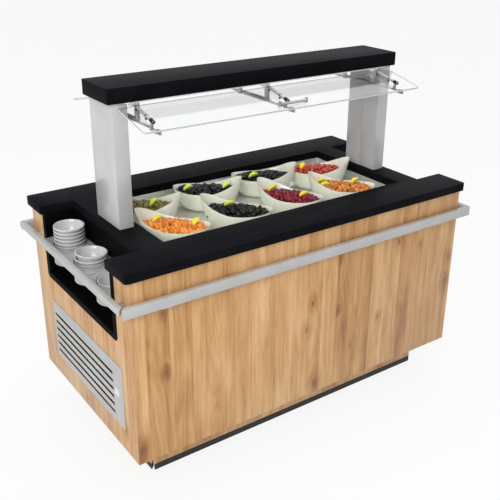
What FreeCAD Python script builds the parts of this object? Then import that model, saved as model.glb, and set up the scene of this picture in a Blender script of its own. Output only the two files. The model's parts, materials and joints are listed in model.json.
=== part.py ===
import FreeCAD, Part
import math
import os
import re

import Sketcher

# Mobile salad bar: chilled well in a wooden cabinet on castors, canopy with two lifting glass guards.
# Millimetres, +Z up, +X along the worktop, origin on the floor under the middle of the worktop.

doc = FreeCAD.newDocument("salad_bar")
os.makedirs("parts", exist_ok=True)
Vector = FreeCAD.Vector
sheet = doc.addObject("Spreadsheet::Sheet", "sizes")
names = []
nodes = []
counter = [0]


def size(name, value):
    """One driving size, or a size worked out from others when the value starts with '='."""
    names.append(name)
    row = len(names)
    sheet.set(f"A{row}", name)
    sheet.set(f"B{row}", str(value))
    sheet.setAlias(f"B{row}", name)


# worktop and chilled well
size("top_length", 1566)
size("top_depth", 862)
size("top_thick", 33)
size("top_height", 900)
size("top_under", "=top_height - top_thick")
size("top_corner", 12)
size("well_length", 1108)
size("well_width", 530)
size("well_depth", 105)
size("well_floor", "=top_height - well_depth")
size("step_drop", 25)
size("step_inset", 5)
size("tank_gauge", 1.5)
size("tank_flange", 18)
size("foam_thick", 30)
size("notch_depth", 132)
size("notch_half", 283)
# cladding
size("body_length", 1534)
size("body_depth", 838)
size("body_bottom", 155)
size("panel_thick", 18)
size("body_x", "=body_length / 2")
size("body_y", "=body_depth / 2")
size("inside_x", "=body_x - panel_thick")
size("inside_y", "=body_y - panel_thick")
size("deck_thick", 18)
size("deck_top", "=body_bottom + deck_thick")
size("frame_tube", 40)
# recessed plinth
size("plinth_x", 670)
size("plinth_y", 323.7)
size("plinth_bottom", 20)
size("strip_height", 26)
size("plinth_gap", 7)
# chassis and castors
size("chassis_height", 30)
size("chassis_tube", 40)
size("castor_x", 540)
size("castor_y", 200)
size("castor_plate", 4)
size("wheel_radius", 50)
size("wheel_width", 32)
size("castor_trail", 35)
size("fork_gauge", 3)
size("fork_gap", 3.5)
size("fork_top", 110)
size("axle_radius", 4)
size("race_radius", 26)
size("race_gap", 0.5)
size("head_half_x", 50)
size("head_half_y", 40)
size("king_radius", 6)
size("king_nut", 9)
size("king_below", 9)
size("axle_head", 4)
size("chassis_bottom", "=body_bottom - chassis_height")
# niches at both ends and the bowl shelves over them
size("niche_half", 309.5)
size("niche_bottom", 597)
size("niche_floor", 622)
size("niche_back", 642)
size("niche_corner", 20)
size("rim_play", 0.5)
size("liner_gauge", 2)
size("shelf_top", 770)
size("shelf_gauge", 1.5)
size("shelf_edge", 790)
size("shelf_lip", 12)
size("cup_x", 711)
size("cup_pitch", 190)
size("cup_radius", 62.5)
size("cup_depth", 72)
size("shelf_slot_near", 32)
size("shelf_slot_far", 66)
size("shelf_slot_shift", 80)
size("shelf_slot_half", 4)
size("bowl_rim", 58.5)
size("bowl_base", 44.5)
size("bowl_height", 45)
size("bowl_wall", 3.5)
size("bowl_pitch", 13.1)
# tray rails
size("rail_x", 815)
size("rail_y", 450)
size("rail_top", 793.5)
size("rail_height", 37)
size("end_rail_height", 22)
size("rail_thick", 20)
size("rail_gap", 6)
size("bracket_width", 40)
size("bracket_gauge", 3)
size("bracket_drop", 13)
size("bracket_rise", 15)
size("bracket_short", 3)
size("end_bracket_y", 375)
# grille and switch on the left end
size("grille_bottom", 246)
size("grille_top", 500)
size("grille_front", 327)
size("grille_rear", 288)
size("grille_gauge", 2)
size("grille_lap", 16)
size("slot_first", 280.4)
size("slot_pitch", 32.8)
size("slot_height", 13)
size("slot_front", 250)
size("slot_rear", 274)
size("blade_back", 11)
size("blade_fall", 9)
size("blade_gauge", 1.6)
size("switch_y", 282)
size("switch_z", 385)
size("switch_half", 15)
size("switch_out", 3)
size("switch_deep", 12)
size("barrel_half", 10.5)
size("cavity_half", 9)
size("rocker_half", 8.2)
size("rocker_pin", 1.5)
# condensing unit behind the grille
size("unit_x", 570)
size("unit_half_x", 165)
size("unit_half_y", 250)
size("unit_lip", 22)
size("unit_gauge", 2)
size("pot_x", 500)
size("pot_y", -130)
size("pot_radius", 75)
size("pot_height", 190)
size("pot_cap", 30)
size("pot_step", 20)
size("coil_thick", 60)
size("coil_half", 190)
size("coil_height", 240)
size("coil_border", 20)
size("coil_end", 12)
size("fin_gap", 6)
size("fan_radius", 105)
size("fan_x", 640)
size("fan_z", 310)
size("fan_hub", 26)
size("blade_half", 26)
size("blade_thick", 2.5)
size("blade_pitch", 28)
size("motor_radius", 34)
size("motor_length", 36)
size("shaft_radius", 4)
size("mount_half", 30)
size("mount_gauge", 4)
# drain
size("drain_x", 250)
size("drain_radius", 16)
size("drain_gauge", 2.6)
size("drain_flange", 6)
size("valve_z", 105)
size("valve_half", 20)
size("lever_length", 80)
size("lever_half", 8)
size("lever_gauge", 4)
# cooling lines
size("line_x", 500)
size("line_y", 60)
size("line_radius", 5)
size("plate_thick", 4)
size("foam_play", 0.3)
size("plate_space", 18)
# cable gland
size("gland_x", 620)
size("gland_z", 220)
size("gland_half", 12)
size("gland_out", 14)
# posts and canopy
size("post_inner", 577.5)
size("post_width", 55.5)
size("post_half", 91)
size("cover_gauge", 2)
size("cover_play", 0.3)
size("seam_half", 0.4)
size("core_inset", 8)
size("core_half", 60)
size("core_gauge", 3)
size("foot_thick", 5)
size("canopy_bottom", 1350)
size("canopy_height", 53)
size("canopy_length", 1305)
size("canopy_depth", 201)
size("canopy_gauge", 2)
size("canopy_corner", 4)
size("lamp_half", 500)
size("lamp_width", 28)
size("lamp_thick", 8)
# sneeze guards: sizes from the hinge line, outwards along the glass and square to it
size("hinge_out", 112)
size("hinge_height", 1345)
size("guard_slope", 13)
size("glass_drop", 15)
size("glass_thick", 6)
size("glass_length", 1232)
size("glass_behind", 12)
size("glass_reach", 176.5)
size("glass_corner", 12)
size("hole_play", 2)
size("arm_radius", 6)
size("arm_reach", 155)
size("arm_drop", 31)
size("hook_over", 5)
size("arm_spacing", 543)
size("arm_offset", -20)
size("barrel_radius", 7)
size("barrel_width", 16)
size("pin_radius", 2.5)
size("pin_clearance", 0.4)
size("clamp_inner", 24)
size("clamp_outer", 128)
size("clamp_radius", 8)
size("clamp_length", 21)
size("clamp_fit", 0.05)
size("stem_half", 3)
size("handle_half", 60)
size("handle_out", 144)
size("handle_height", 30)
size("handle_radius", 5.5)
size("handle_bend", 8)
# hinge strip and hangers under the canopy
size("strip_half", 590)
size("strip_back", 92)
size("strip_front", 104)
size("strip_thick", 3)
size("lug_play", 1)
size("lug_thick", 3)
size("lug_round", 7)
size("lug_below", 5)
size("cheek_near", 4)
size("cheek_thick", 2.5)
size("hanger_half", 8)
size("hanger_below", 7)
# stays that hold the guards up
size("stay_side", 13)
size("stay_anchor", 80)
size("stay_pin", 3)
size("stay_radius", 4.9)
size("stay_length", 263)
size("stay_bore", 45)
size("eye_half", 3)
size("eye_radius", 6)
size("rod_radius", 2.5)
size("rod_inside", 32)
size("tip_radius", 6.5)
size("slot_half", 4.2)
size("slot_out", 9.5)
size("slot_in", 4)
size("stay_end_y", "=hinge_out + arm_reach * cos(guard_slope) - arm_drop * sin(guard_slope)")
size("stay_z", "=hinge_height - arm_reach * sin(guard_slope) - arm_drop * cos(guard_slope)")
# salad dishes
size("dish_length", 288)
size("dish_width", 156)
size("dish_middle", 84)
size("dish_low_tip", 97)
size("dish_high_tip", 141)
size("dish_wall", 4)
size("dish_play", 0.3)
doc.recompute()

FACETS = 12  # flat sides that make up a slim round bar where it repeats many times
BOWL_FLATS = 18


def bound(text):
    """The text with every size name pointing at the sheet."""
    return re.sub(r"[a-z_][a-z_0-9]*", lambda m: ("sizes." if m.group() in names else "") + m.group(), text)


def number(text):
    """What an expression is worth now."""
    return float(sheet.evalExpression(text))


def fresh(stem):
    """A name that no other object has."""
    counter[0] += 1
    return f"{stem}_{counter[0]}"


def keep(item, label):
    """Makes the item a sub-part of its own name."""
    item.Label = label
    nodes.append(item)
    return item


def box(low_x, high_x, low_y, high_y, low_z, high_z):
    """A block between two corners."""
    item = doc.addObject("Part::Box", fresh("block"))
    item.setExpression("Length", bound(f"({high_x}) - ({low_x})"))
    item.setExpression("Width", bound(f"({high_y}) - ({low_y})"))
    item.setExpression("Height", bound(f"({high_z}) - ({low_z})"))
    item.setExpression("Placement", bound(f"placement(vector({low_x}; {low_y}; {low_z}); rotation(0; 0; 0))"))
    return item


TURNS = {"x": "rotation(0; 90; 0)", "y": "rotation(0; 0; -90)", "z": "rotation(0; 0; 0)"}


def rod(axis, x, y, z, radius, length, sides=0):
    """A round bar, or one with flat sides, that starts at a point and runs along +X, +Y or +Z."""
    item = doc.addObject("Part::Prism" if sides else "Part::Cylinder", fresh("rod"))
    if sides:
        item.Polygon = sides
    item.setExpression("Circumradius" if sides else "Radius", bound(radius))
    item.setExpression("Height", bound(length))
    item.setExpression("Placement", bound(f"placement(vector({x}; {y}; {z}); {TURNS[axis]})"))
    return item


def join(*items):
    """The items as one solid."""
    item = doc.addObject("Part::MultiFuse", fresh("join"))
    item.Shapes = list(items)
    return item


def cut(base, *tools):
    """The base without the tools."""
    item = doc.addObject("Part::Cut", fresh("cut"))
    item.Base = base
    item.Tool = tools[0] if len(tools) == 1 else join(*tools)
    return item


def group(label, items):
    """A sub-part of several separate solids."""
    item = doc.addObject("Part::Compound", fresh("group"))
    item.Links = list(items)
    return keep(item, label)


def copies(master, places):
    """The master's shape again at each place, given as placement expressions."""
    doc.recompute()
    made = []
    for place in places:
        item = doc.addObject("Part::Feature", fresh("copy"))
        item.Shape = master.Shape.copy()
        item.setExpression("Placement", bound(place))
        made.append(item)
    return made


def new_body():
    """An empty body."""
    return doc.addObject("PartDesign::Body", fresh("body"))


def sketch_on(body, plane, middle):
    """A sketch on one of the body's own planes, moved along the plane's normal."""
    drawing = body.newObject("Sketcher::SketchObject", fresh("sketch"))
    origin = [item for item in body.Origin.OriginFeatures if item.Role == plane + "_Plane"]
    drawing.AttachmentSupport = [(origin[0], "")]
    drawing.MapMode = "FlatFace"
    sign = "-" if plane == "XZ" else ""
    drawing.setExpression("AttachmentOffset.Base.z", bound(f"{sign}({middle})"))
    return drawing


def pin_point(drawing, index, end, x, y):
    """Ties a sketch point to its place by two named distances from the sketch's origin."""
    for kind, text in (("DistanceX", x), ("DistanceY", y)):
        worth = number(text)
        if text == "0":
            axis = -2 if kind == "DistanceX" else -1
            drawing.addConstraint(Sketcher.Constraint("PointOnObject", index, end, axis))
        else:
            place = drawing.addConstraint(Sketcher.Constraint(kind, -1, 1, index, end, worth))
            drawing.setExpression(f"Constraints[{place}]", bound(text))


def draw(drawing, outline):
    """Draws a closed outline: corner points, or a circle as ("circle", x, y, radius)."""
    if outline[0] == "circle":
        _, x, y, radius = outline
        circle = Part.Circle(Vector(number(x), number(y), 0), Vector(0, 0, 1), number(radius))
        index = drawing.addGeometry(circle, False)
        pin_point(drawing, index, 3, x, y)
        place = drawing.addConstraint(Sketcher.Constraint("Radius", index, number(radius)))
        drawing.setExpression(f"Constraints[{place}]", bound(radius))
        return
    points = [Vector(number(x), number(y), 0) for x, y in outline]
    sides = []
    for here, there in zip(points, points[1:] + points[:1]):
        sides.append(drawing.addGeometry(Part.LineSegment(here, there), False))
    for here, there in zip(sides, sides[1:] + sides[:1]):
        drawing.addConstraint(Sketcher.Constraint("Coincident", here, 2, there, 1))
    for index, (x, y) in zip(sides, outline):
        pin_point(drawing, index, 1, x, y)


def block(low_x, high_x, low_y, high_y):
    """A rectangle's outline."""
    return [(low_x, low_y), (high_x, low_y), (high_x, high_y), (low_x, high_y)]


def layer(body, kind, plane, outlines, low, high):
    """A pad or pocket of the outlines between two heights over the plane."""
    drawing = sketch_on(body, plane, f"(({low}) + ({high})) / 2")
    for outline in outlines:
        draw(drawing, outline)
    feature = body.newObject("PartDesign::" + kind, fresh(kind.lower()))
    feature.Profile = drawing
    feature.SideType = "Symmetric"
    feature.setExpression("Length", bound(f"({high}) - ({low})"))
    drawing.Visibility = False
    return feature


def pad(body, plane, outlines, low, high):
    """Adds material."""
    return layer(body, "Pad", plane, outlines, low, high)


def pocket(body, plane, outlines, low, high):
    """Takes material away."""
    return layer(body, "Pocket", plane, outlines, low, high)


def plate(plane, outlines, low, high):
    """A new body with one pad."""
    body = new_body()
    pad(body, plane, outlines, low, high)
    return body


def rounded(body, axis, radius, wanted):
    """Rounds the edges along an axis whose middle point passes the test."""
    doc.recompute()
    base = body.Tip
    chosen = []
    for count, edge in enumerate(base.Shape.Edges, 1):
        if len(edge.Vertexes) != 2:
            continue
        run = edge.Vertexes[1].Point - edge.Vertexes[0].Point
        if run.Length < 1e-6 or abs(run.normalize().dot(axis)) < 0.999:
            continue
        if wanted(edge.CenterOfMass):
            chosen.append(f"Edge{count}")
    feature = body.newObject("PartDesign::Fillet", fresh("round"))
    feature.Base = (base, chosen)
    feature.setExpression("Radius", bound(radius))
    doc.recompute()
    return feature


def turned(plane, axis, outline):
    """A body turned about the sketch's own horizontal or vertical axis."""
    body = new_body()
    drawing = sketch_on(body, plane, "0")
    draw(drawing, outline)
    feature = body.newObject("PartDesign::Revolution", fresh("turn"))
    feature.Profile = drawing
    feature.ReferenceAxis = (drawing, [axis + "_Axis"])
    feature.Angle = 360
    drawing.Visibility = False
    return body


def facets(x, y, radius, sides=FACETS):
    """Outline of a slim round bar or a small bore, made of narrow flats."""
    corners = []
    for count in range(sides):
        turn = (count + 0.5) * 360 / sides
        corners.append((f"{x} + ({radius}) * cos({turn})", f"{y} + ({radius}) * sin({turn})"))
    return corners


def mitred_path(body, plane, middle, corners):
    """An open path of straight runs; returns the sketch and its edge names."""
    drawing = sketch_on(body, plane, middle)
    spots = [Vector(number(x), number(y), 0) for x, y in corners]
    lines = [drawing.addGeometry(Part.LineSegment(a, b), False) for a, b in zip(spots, spots[1:])]
    for here, there in zip(lines, lines[1:]):
        drawing.addConstraint(Sketcher.Constraint("Coincident", here, 2, there, 1))
    for index, (x, y) in zip(lines, corners):
        pin_point(drawing, index, 1, x, y)
    pin_point(drawing, lines[-1], 2, *corners[-1])
    drawing.Visibility = False
    return drawing, [f"Edge{k + 1}" for k in range(len(lines))]


def mitred_tube(path_plane, middle, corners, ring_plane, ring_middle, ring):
    """A round bar along straight runs that meet in mitres."""
    body = new_body()
    path, edges = mitred_path(body, path_plane, middle, corners)
    drawing = sketch_on(body, ring_plane, ring_middle)
    draw(drawing, ring)
    doc.recompute()
    feature = body.newObject("PartDesign::AdditivePipe", fresh("pipe"))
    feature.Profile = drawing
    feature.Spine = (path, edges)
    feature.Transition = "Right corner"
    drawing.Visibility = False
    return body


def flat_sided(rings, caps):
    """A solid of flat faces between rings of equal count, closed by fans of corners at both ends."""
    faces = []
    for here, there in zip(rings, rings[1:]):
        for k in range(len(here)):
            n = (k + 1) % len(here)
            faces.append(triangle(here[k], here[n], there[n]))
            faces.append(triangle(here[k], there[n], there[k]))
    for ring in (rings[0], rings[-1]):
        for a, b, c in caps:
            faces.append(triangle(ring[a], ring[b], ring[c]))
    shell = Part.Shell(faces)
    shell.sewShape()
    solid = Part.Solid(shell)
    if solid.Volume < 0:
        solid.reverse()
    return solid


def triangle(a, b, c):
    """One flat face."""
    return Part.Face(Part.makePolygon([a, b, c, a]))


# ---------------------------------------------------------------- chassis and castors


def chassis():
    """Welded ring of box tube with two cross tubes, and a castor head bolted under each corner."""
    low, high = "chassis_bottom", "body_bottom"
    outer_x, outer_y = "plinth_x - panel_thick", "plinth_y - panel_thick"
    body = plate("XY", [block(f"-({outer_x})", outer_x, f"-({outer_y})", outer_y)], low, high)
    run = f"{outer_y} - chassis_tube"
    between = block("-castor_x + chassis_tube", "castor_x - chassis_tube", f"-({run})", run)
    pocket(body, "XY", [between], low, high)
    for side in ("", "-"):
        near = f"{side}(castor_x + chassis_tube)"
        far = f"{side}({outer_x} - chassis_tube)"
        pocket(body, "XY", [block(near, far, f"-({run})", run)], low, high)
    pieces = [body]
    for side_x in ("", "-"):
        for side_y in ("", "-"):
            pieces.append(castor_head(f"{side_x}castor_x", f"{side_y}castor_y"))
    group("chassis_frame", pieces)


def castor_head(x, y):
    """Top plate, race and king pin with its nut, which stay still while the fork swivels."""
    top = "chassis_bottom"
    cover = box(f"{x} - head_half_x", f"{x} + head_half_x", f"{y} - head_half_y", f"{y} + head_half_y",
                f"{top} - castor_plate", top)
    race = rod("z", x, y, "fork_top + race_gap", "race_radius", f"{top} - castor_plate - fork_top - race_gap",
               2 * FACETS)
    pin = rod("z", x, y, "fork_top - king_below", "king_radius", "king_below + 2 * race_gap", FACETS)
    nut = rod("z", x, y, "fork_top - king_below", "king_nut", "fork_gauge + 2", 6)
    return join(cover, race, pin, nut)


def castor(tag, x, y):
    """One swivelling fork with its axle, and the wheel that turns in it."""
    outer = "wheel_width / 2 + fork_gap + fork_gauge"
    inner = "wheel_width / 2 + fork_gap"
    trail = "castor_trail"
    outline = [
        ("-24", "fork_top"),
        ("26", "fork_top"),
        (f"{trail} + 13", "wheel_radius + 14"),
        (f"{trail} + 13", "wheel_radius - 8"),
        (f"{trail} + 8", "wheel_radius - 13"),
        (f"{trail} - 8", "wheel_radius - 13"),
        (f"{trail} - 13", "wheel_radius - 8"),
        ("-24", "fork_top - 16"),
    ]
    body = plate("XZ", [outline], f"-({outer})", outer)
    hollow = block("-60", "80", "0", "fork_top - fork_gauge")
    pocket(body, "XZ", [hollow], f"-({inner})", inner)
    king_bore = ("circle", "0", "0", "king_radius + pin_clearance")
    pocket(body, "XY", [king_bore], "fork_top - 10", "fork_top + 10")
    axle = rod("y", trail, f"-({outer}) - axle_head", "wheel_radius", "axle_radius",
               f"2 * ({outer} + axle_head)", FACETS)
    fork = join(body, axle)
    place = f"placement(vector({x}; {y}; 0); rotation(0; 0; 0))"
    fork.setExpression("Placement", bound(place))
    keep(fork, "castor_fork_" + tag)

    bore = "axle_radius + pin_clearance"
    half = "wheel_width / 2"
    tread = [
        (f"-({half})", bore),
        (f"-({half})", "wheel_radius"),
        (half, "wheel_radius"),
        (half, bore),
    ]
    wheel = turned("YZ", "H", tread)
    place = f"placement(vector({x} + castor_trail; {y}; wheel_radius); rotation(0; 0; 0))"
    wheel.setExpression("Placement", bound(place))
    keep(wheel, "castor_wheel_" + tag)


# ---------------------------------------------------------------- cabinet


def base_deck():
    """Floor of the cabinet, with a hole for the drain pipe."""
    body = plate("XY", [block("-inside_x", "inside_x", "-inside_y", "inside_y")], "body_bottom", "deck_top")
    hole = ("circle", "drain_x", "0", "drain_radius + 4")
    pocket(body, "XY", [hole], "body_bottom - 1", "deck_top + 1")
    keep(body, "base_deck")


def cabinet_frame():
    """Box-tube frame inside the cladding: corner legs, long rails under the worktop, rails below the niches."""
    pieces = []
    for side_x in (1, -1):
        for side_y in (1, -1):
            x = sorted_span(side_x, "inside_x - frame_tube", "inside_x")
            y = sorted_span(side_y, "inside_y - frame_tube", "inside_y")
            pieces.append(box(*x, *y, "deck_top", "top_under"))
    for side_y in (1, -1):
        y = sorted_span(side_y, "inside_y - frame_tube", "inside_y")
        run = "inside_x - frame_tube"
        pieces.append(box(f"-({run})", run, *y, "top_under - frame_tube", "top_under"))
        pieces.append(box("-frame_tube / 2", "frame_tube / 2", *y, "deck_top", "top_under - frame_tube"))
    for side_x in (1, -1):
        x = sorted_span(side_x, "inside_x - frame_tube", "inside_x")
        run = "inside_y - frame_tube"
        pieces.append(box(*x, f"-({run})", run, "niche_bottom - frame_tube", "niche_bottom"))
    keep(join(*pieces), "cabinet_frame")


def sorted_span(side, near, far):
    """Low and high end of a span on the plus or minus side."""
    if side > 0:
        return near, far
    return f"-({far})", f"-({near})"


def long_panels():
    """Front and rear cladding."""
    pieces = []
    for side in (1, -1):
        y = sorted_span(side, "inside_y", "body_y")
        pieces.append(plate("XZ", [block("-body_x", "body_x", "body_bottom", "top_under")], *y))
    group("long_panels", pieces)


def niche_outline():
    """Opening of a niche in an end panel, with round lower corners made by the caller."""
    return block("-niche_half", "niche_half", "niche_bottom", "top_under + 1")


def end_panel(label, side):
    """End cladding with the niche; the left one also lets air through to the condenser."""
    x = sorted_span(side, "inside_x", "body_x")
    body = plate("YZ", [block("-inside_y", "inside_y", "body_bottom", "top_under")], *x)
    pocket(body, "YZ", [niche_outline()], x[0] + " - 1", x[1] + " + 1")
    low, wide = number("niche_bottom"), number("niche_half") + 1
    rounded(body, Vector(1, 0, 0), "niche_corner", lambda p: abs(p.z - low) < 1 and abs(p.y) < wide)
    if side < 0:
        seat = "barrel_half + 1.5"
        window = block(f"-switch_y + {seat} - 10", "grille_rear - 10", "grille_bottom + grille_lap",
                       "grille_top - grille_lap")
        pocket(body, "YZ", [window], x[0] + " - 1", x[1] + " + 1")
        across = (f"-switch_y - ({seat})", f"-switch_y + {seat}")
        hole = block(*across, f"switch_z - ({seat})", f"switch_z + {seat}")
        pocket(body, "YZ", [hole], x[0] + " - 1", x[1] + " + 1")
    keep(body, label)


def plinth(label, low, high):
    """Four boards round the castors, mitred with a small gap at the corners."""
    pieces = []
    inner_x, inner_y = "plinth_x - panel_thick", "plinth_y - panel_thick"
    for side in (1, -1):
        sign = "" if side > 0 else "-"
        outline = [
            ("-(plinth_x - plinth_gap)", f"{sign}plinth_y"),
            ("plinth_x - plinth_gap", f"{sign}plinth_y"),
            (f"{inner_x} - plinth_gap", f"{sign}({inner_y})"),
            (f"-({inner_x} - plinth_gap)", f"{sign}({inner_y})"),
        ]
        pieces.append(plate("XY", [outline], low, high))
    for side in (1, -1):
        sign = "" if side > 0 else "-"
        outline = [
            (f"{sign}plinth_x", "-(plinth_y - plinth_gap)"),
            (f"{sign}plinth_x", "plinth_y - plinth_gap"),
            (f"{sign}({inner_x})", f"{inner_y} - plinth_gap"),
            (f"{sign}({inner_x})", f"-({inner_y} - plinth_gap)"),
        ]
        pieces.append(plate("XY", [outline], low, high))
    group(label, pieces)


def worktop():
    """Black top with the well cut through it and a notch in each end for the bowl shelf."""
    half_x, half_y = "top_length / 2", "top_depth / 2"
    body = plate("XY", [block(f"-{half_x}", half_x, f"-{half_y}", half_y)], "top_under", "top_height")
    rounded(body, Vector(0, 0, 1), "top_corner", lambda p: True)
    well = block("-well_length / 2", "well_length / 2", "-well_width / 2", "well_width / 2")
    pocket(body, "XY", [well], "top_under - 1", "top_height + 1")
    for side in (1, -1):
        x = sorted_span(side, "top_length / 2 - notch_depth", "top_length / 2 + 1")
        pocket(body, "XY", [block(*x, "-notch_half", "notch_half")], "top_under - 1", "top_height + 1")
    keep(body, "worktop")


def niche_liners():
    """Black tub behind each niche opening, with a thick rim in the panel."""
    pieces = []
    for side in (1, -1):
        face = sorted_span(side, "inside_x", "body_x + 1")
        deep = sorted_span(side, "niche_back - liner_gauge", "inside_x")
        hollow = sorted_span(side, "niche_back", "body_x + 2")
        wide = "niche_half - rim_play"
        rim = box(*face, f"-({wide})", wide, "niche_bottom + rim_play", "top_under")
        outer = "notch_half + liner_gauge"
        tub = box(*deep, f"-({outer})", outer, "niche_floor - liner_gauge", "top_under")
        inner = box(*hollow, "-notch_half", "notch_half", "niche_floor", "top_under + 1")
        pieces.append(cut(join(rim, tub), inner, *corner_trims(face)))
    group("niche_liners", pieces)


def corner_trims(face):
    """Takes the rim's two lower corners back to the panel's round corners."""
    trims = []
    inset = "niche_corner + rim_play"
    for side in (1, -1):
        y = sorted_span(side, f"niche_half - ({inset})", "niche_half + 1")
        corner = box(face[0] + " - 1", face[1] + " + 1", *y, "niche_bottom - 1", f"niche_bottom + {inset}")
        sign = "" if side > 0 else "-"
        quarter = rod("x", face[0] + " - 2", f"{sign}(niche_half - ({inset}))", f"niche_bottom + {inset}",
                      "niche_corner", "2 * niche_corner")
        trims.append(cut(corner, quarter))
    return trims


def bowl_shelves():
    """Pressed steel shelf at each end with three round cups and two slots beside each cup."""
    pieces = []
    for side in (1, -1):
        x = sorted_span(side, "niche_back", "shelf_edge")
        sign = "" if side > 0 else "-"
        body = plate("XY", [block(*x, "-notch_half", "notch_half")], "shelf_top - shelf_gauge", "shelf_top")
        rings, hollows, slots = [], [], []
        for row in (-1, 0, 1):
            y = f"{row} * cup_pitch"
            rings.append(("circle", f"{sign}cup_x", y if row else "0", "cup_radius + shelf_gauge"))
            hollows.append(("circle", f"{sign}cup_x", y if row else "0", "cup_radius"))
            if row:
                wide = sorted_span(side, "cup_x + shelf_slot_near", "cup_x + shelf_slot_far")
                middle = f"{y} - {row} * shelf_slot_shift"
                slots.append(block(*wide, f"{middle} - shelf_slot_half", f"{middle} + shelf_slot_half"))
        pad(body, "XY", rings, "shelf_top - cup_depth - shelf_gauge", "shelf_top - shelf_gauge / 2")
        pocket(body, "XY", hollows, "shelf_top - cup_depth", "shelf_top + 1")
        pocket(body, "XY", slots, "shelf_top - 2 * shelf_gauge", "shelf_top + 1")
        lip = sorted_span(side, "shelf_edge - shelf_gauge", "shelf_edge")
        pad(body, "XY", [block(*lip, "-notch_half", "notch_half")], "shelf_top - shelf_lip",
            "shelf_top - shelf_gauge / 2")
        pieces.append(body)
    group("bowl_shelves", pieces)


def bowl_ring(radius, height):
    """Nearly round outline of a small bowl, with many narrow flats."""
    corners = []
    for count in range(BOWL_FLATS):
        turn = 2 * math.pi * count / BOWL_FLATS
        corners.append(Vector(radius * math.cos(turn), radius * math.sin(turn), height))
    return corners


def bowl_shape():
    """One small bowl with flared sides and a flat rim."""
    base, rim, tall = number("bowl_base"), number("bowl_rim"), number("bowl_height")
    wall = number("bowl_wall")
    slope = (rim - base) / tall
    rings = [
        bowl_ring(base, 0),
        bowl_ring(rim, tall),
        bowl_ring(rim - wall, tall),
        bowl_ring(base - wall + slope * wall, wall),
    ]
    return flat_sided(rings, [(0, k, k + 1) for k in range(1, BOWL_FLATS - 1)])


def side_bowls():
    """Three stacks of small bowls in the left shelf: eight, five and three."""
    bowl = doc.addObject("Part::Feature", "bowl")
    bowl.Shape = bowl_shape()
    floor = "shelf_top - cup_depth + dish_play"
    places = []
    for row, count in ((1, 8), (0, 5), (-1, 3)):
        for layer_index in range(count):
            height = f"{floor} + {layer_index} * bowl_pitch"
            places.append(f"placement(vector(-cup_x; {row} * cup_pitch; {height}); rotation(0; 0; 0))")
    group("side_bowls", copies(bowl, places))


def tray_rails():
    """Four tray rails round the cabinet, mitred at the corners with a small gap; the end ones are slimmer."""
    pieces = []
    high = "rail_top"
    low, end_low = "rail_top - rail_height", "rail_top - end_rail_height"
    for side in ("", "-"):
        outline = [
            ("-(rail_x - rail_gap)", f"{side}rail_y"),
            ("rail_x - rail_gap", f"{side}rail_y"),
            ("rail_x - rail_gap - rail_thick", f"{side}(rail_y - rail_thick)"),
            ("-(rail_x - rail_gap - rail_thick)", f"{side}(rail_y - rail_thick)"),
        ]
        pieces.append(plate("XY", [outline], low, high))
        outline = [
            (f"{side}rail_x", "-(rail_y - rail_gap)"),
            (f"{side}rail_x", "rail_y - rail_gap"),
            (f"{side}(rail_x - rail_thick)", "rail_y - rail_gap - rail_thick"),
            (f"{side}(rail_x - rail_thick)", "-(rail_y - rail_gap - rail_thick)"),
        ]
        pieces.append(plate("XY", [outline], end_low, high))
    group("tray_rails", pieces)


LONG_BRACKETS = (-643, -214, 220, 634)  # middles of the brackets along the front and the rear


def rail_brackets():
    """Angle brackets that carry the rails off the cladding."""
    pieces = []
    half = "bracket_width / 2"
    low, end_low = "rail_top - rail_height", "rail_top - end_rail_height"
    for x in LONG_BRACKETS:
        for side in (1, -1):
            leg_y = sorted_span(side, "body_y", "body_y + bracket_gauge")
            arm_y = sorted_span(side, "body_y", "rail_y - bracket_short")
            wide = (f"{x} - {half}", f"{x} + {half}")
            leg = box(*wide, *leg_y, f"{low} - bracket_drop", f"{low} + bracket_rise")
            arm = box(*wide, *arm_y, f"{low} - bracket_gauge", low)
            pieces.append(join(leg, arm))
    for y in ("-end_bracket_y", "end_bracket_y"):
        for side in (1, -1):
            leg_x = sorted_span(side, "body_x", "body_x + bracket_gauge")
            arm_x = sorted_span(side, "body_x", "rail_x - bracket_short")
            leg = box(*leg_x, f"{y} - {half}", f"{y} + {half}", f"{end_low} - bracket_drop", end_low)
            arm = box(*arm_x, f"{y} - {half}", f"{y} + {half}", f"{end_low} - bracket_gauge", end_low)
            pieces.append(join(leg, arm))
    group("rail_brackets", pieces)


# ---------------------------------------------------------------- chilled well


def well_tank():
    """Pressed steel tank under the cut-out: a flange, a step below the rim and a floor with a drain."""
    half_x, half_y = "well_length / 2", "well_width / 2"
    step = "top_under - step_drop"
    gauge, inset = "tank_gauge", "step_inset"
    flange_x = f"{half_x} + tank_flange"
    flange_y = f"{half_y} + tank_flange"
    body = plate("XY", [block(f"-({flange_x})", flange_x, f"-({flange_y})", flange_y)],
                 f"top_under - {gauge}", "top_under")
    wide_x, wide_y = f"{half_x} + {gauge}", f"{half_y} + {gauge}"
    pad(body, "XY", [block(f"-({wide_x})", wide_x, f"-({wide_y})", wide_y)], f"{step} - {gauge}",
        f"top_under - {gauge} / 2")
    slim_x, slim_y = f"{half_x} - {inset} + {gauge}", f"{half_y} - {inset} + {gauge}"
    pad(body, "XY", [block(f"-({slim_x})", slim_x, f"-({slim_y})", slim_y)], f"well_floor - {gauge}", step)
    pocket(body, "XY", [block(f"-{half_x}", half_x, f"-{half_y}", half_y)], step, "top_under + 1")
    deep_x, deep_y = f"{half_x} - {inset}", f"{half_y} - {inset}"
    pocket(body, "XY", [block(f"-({deep_x})", deep_x, f"-({deep_y})", deep_y)], "well_floor", "top_under + 1")
    pocket(body, "XY", [("circle", "drain_x", "0", "drain_radius")], "well_floor - 5", "well_floor + 1")
    keep(body, "well_tank")


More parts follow.
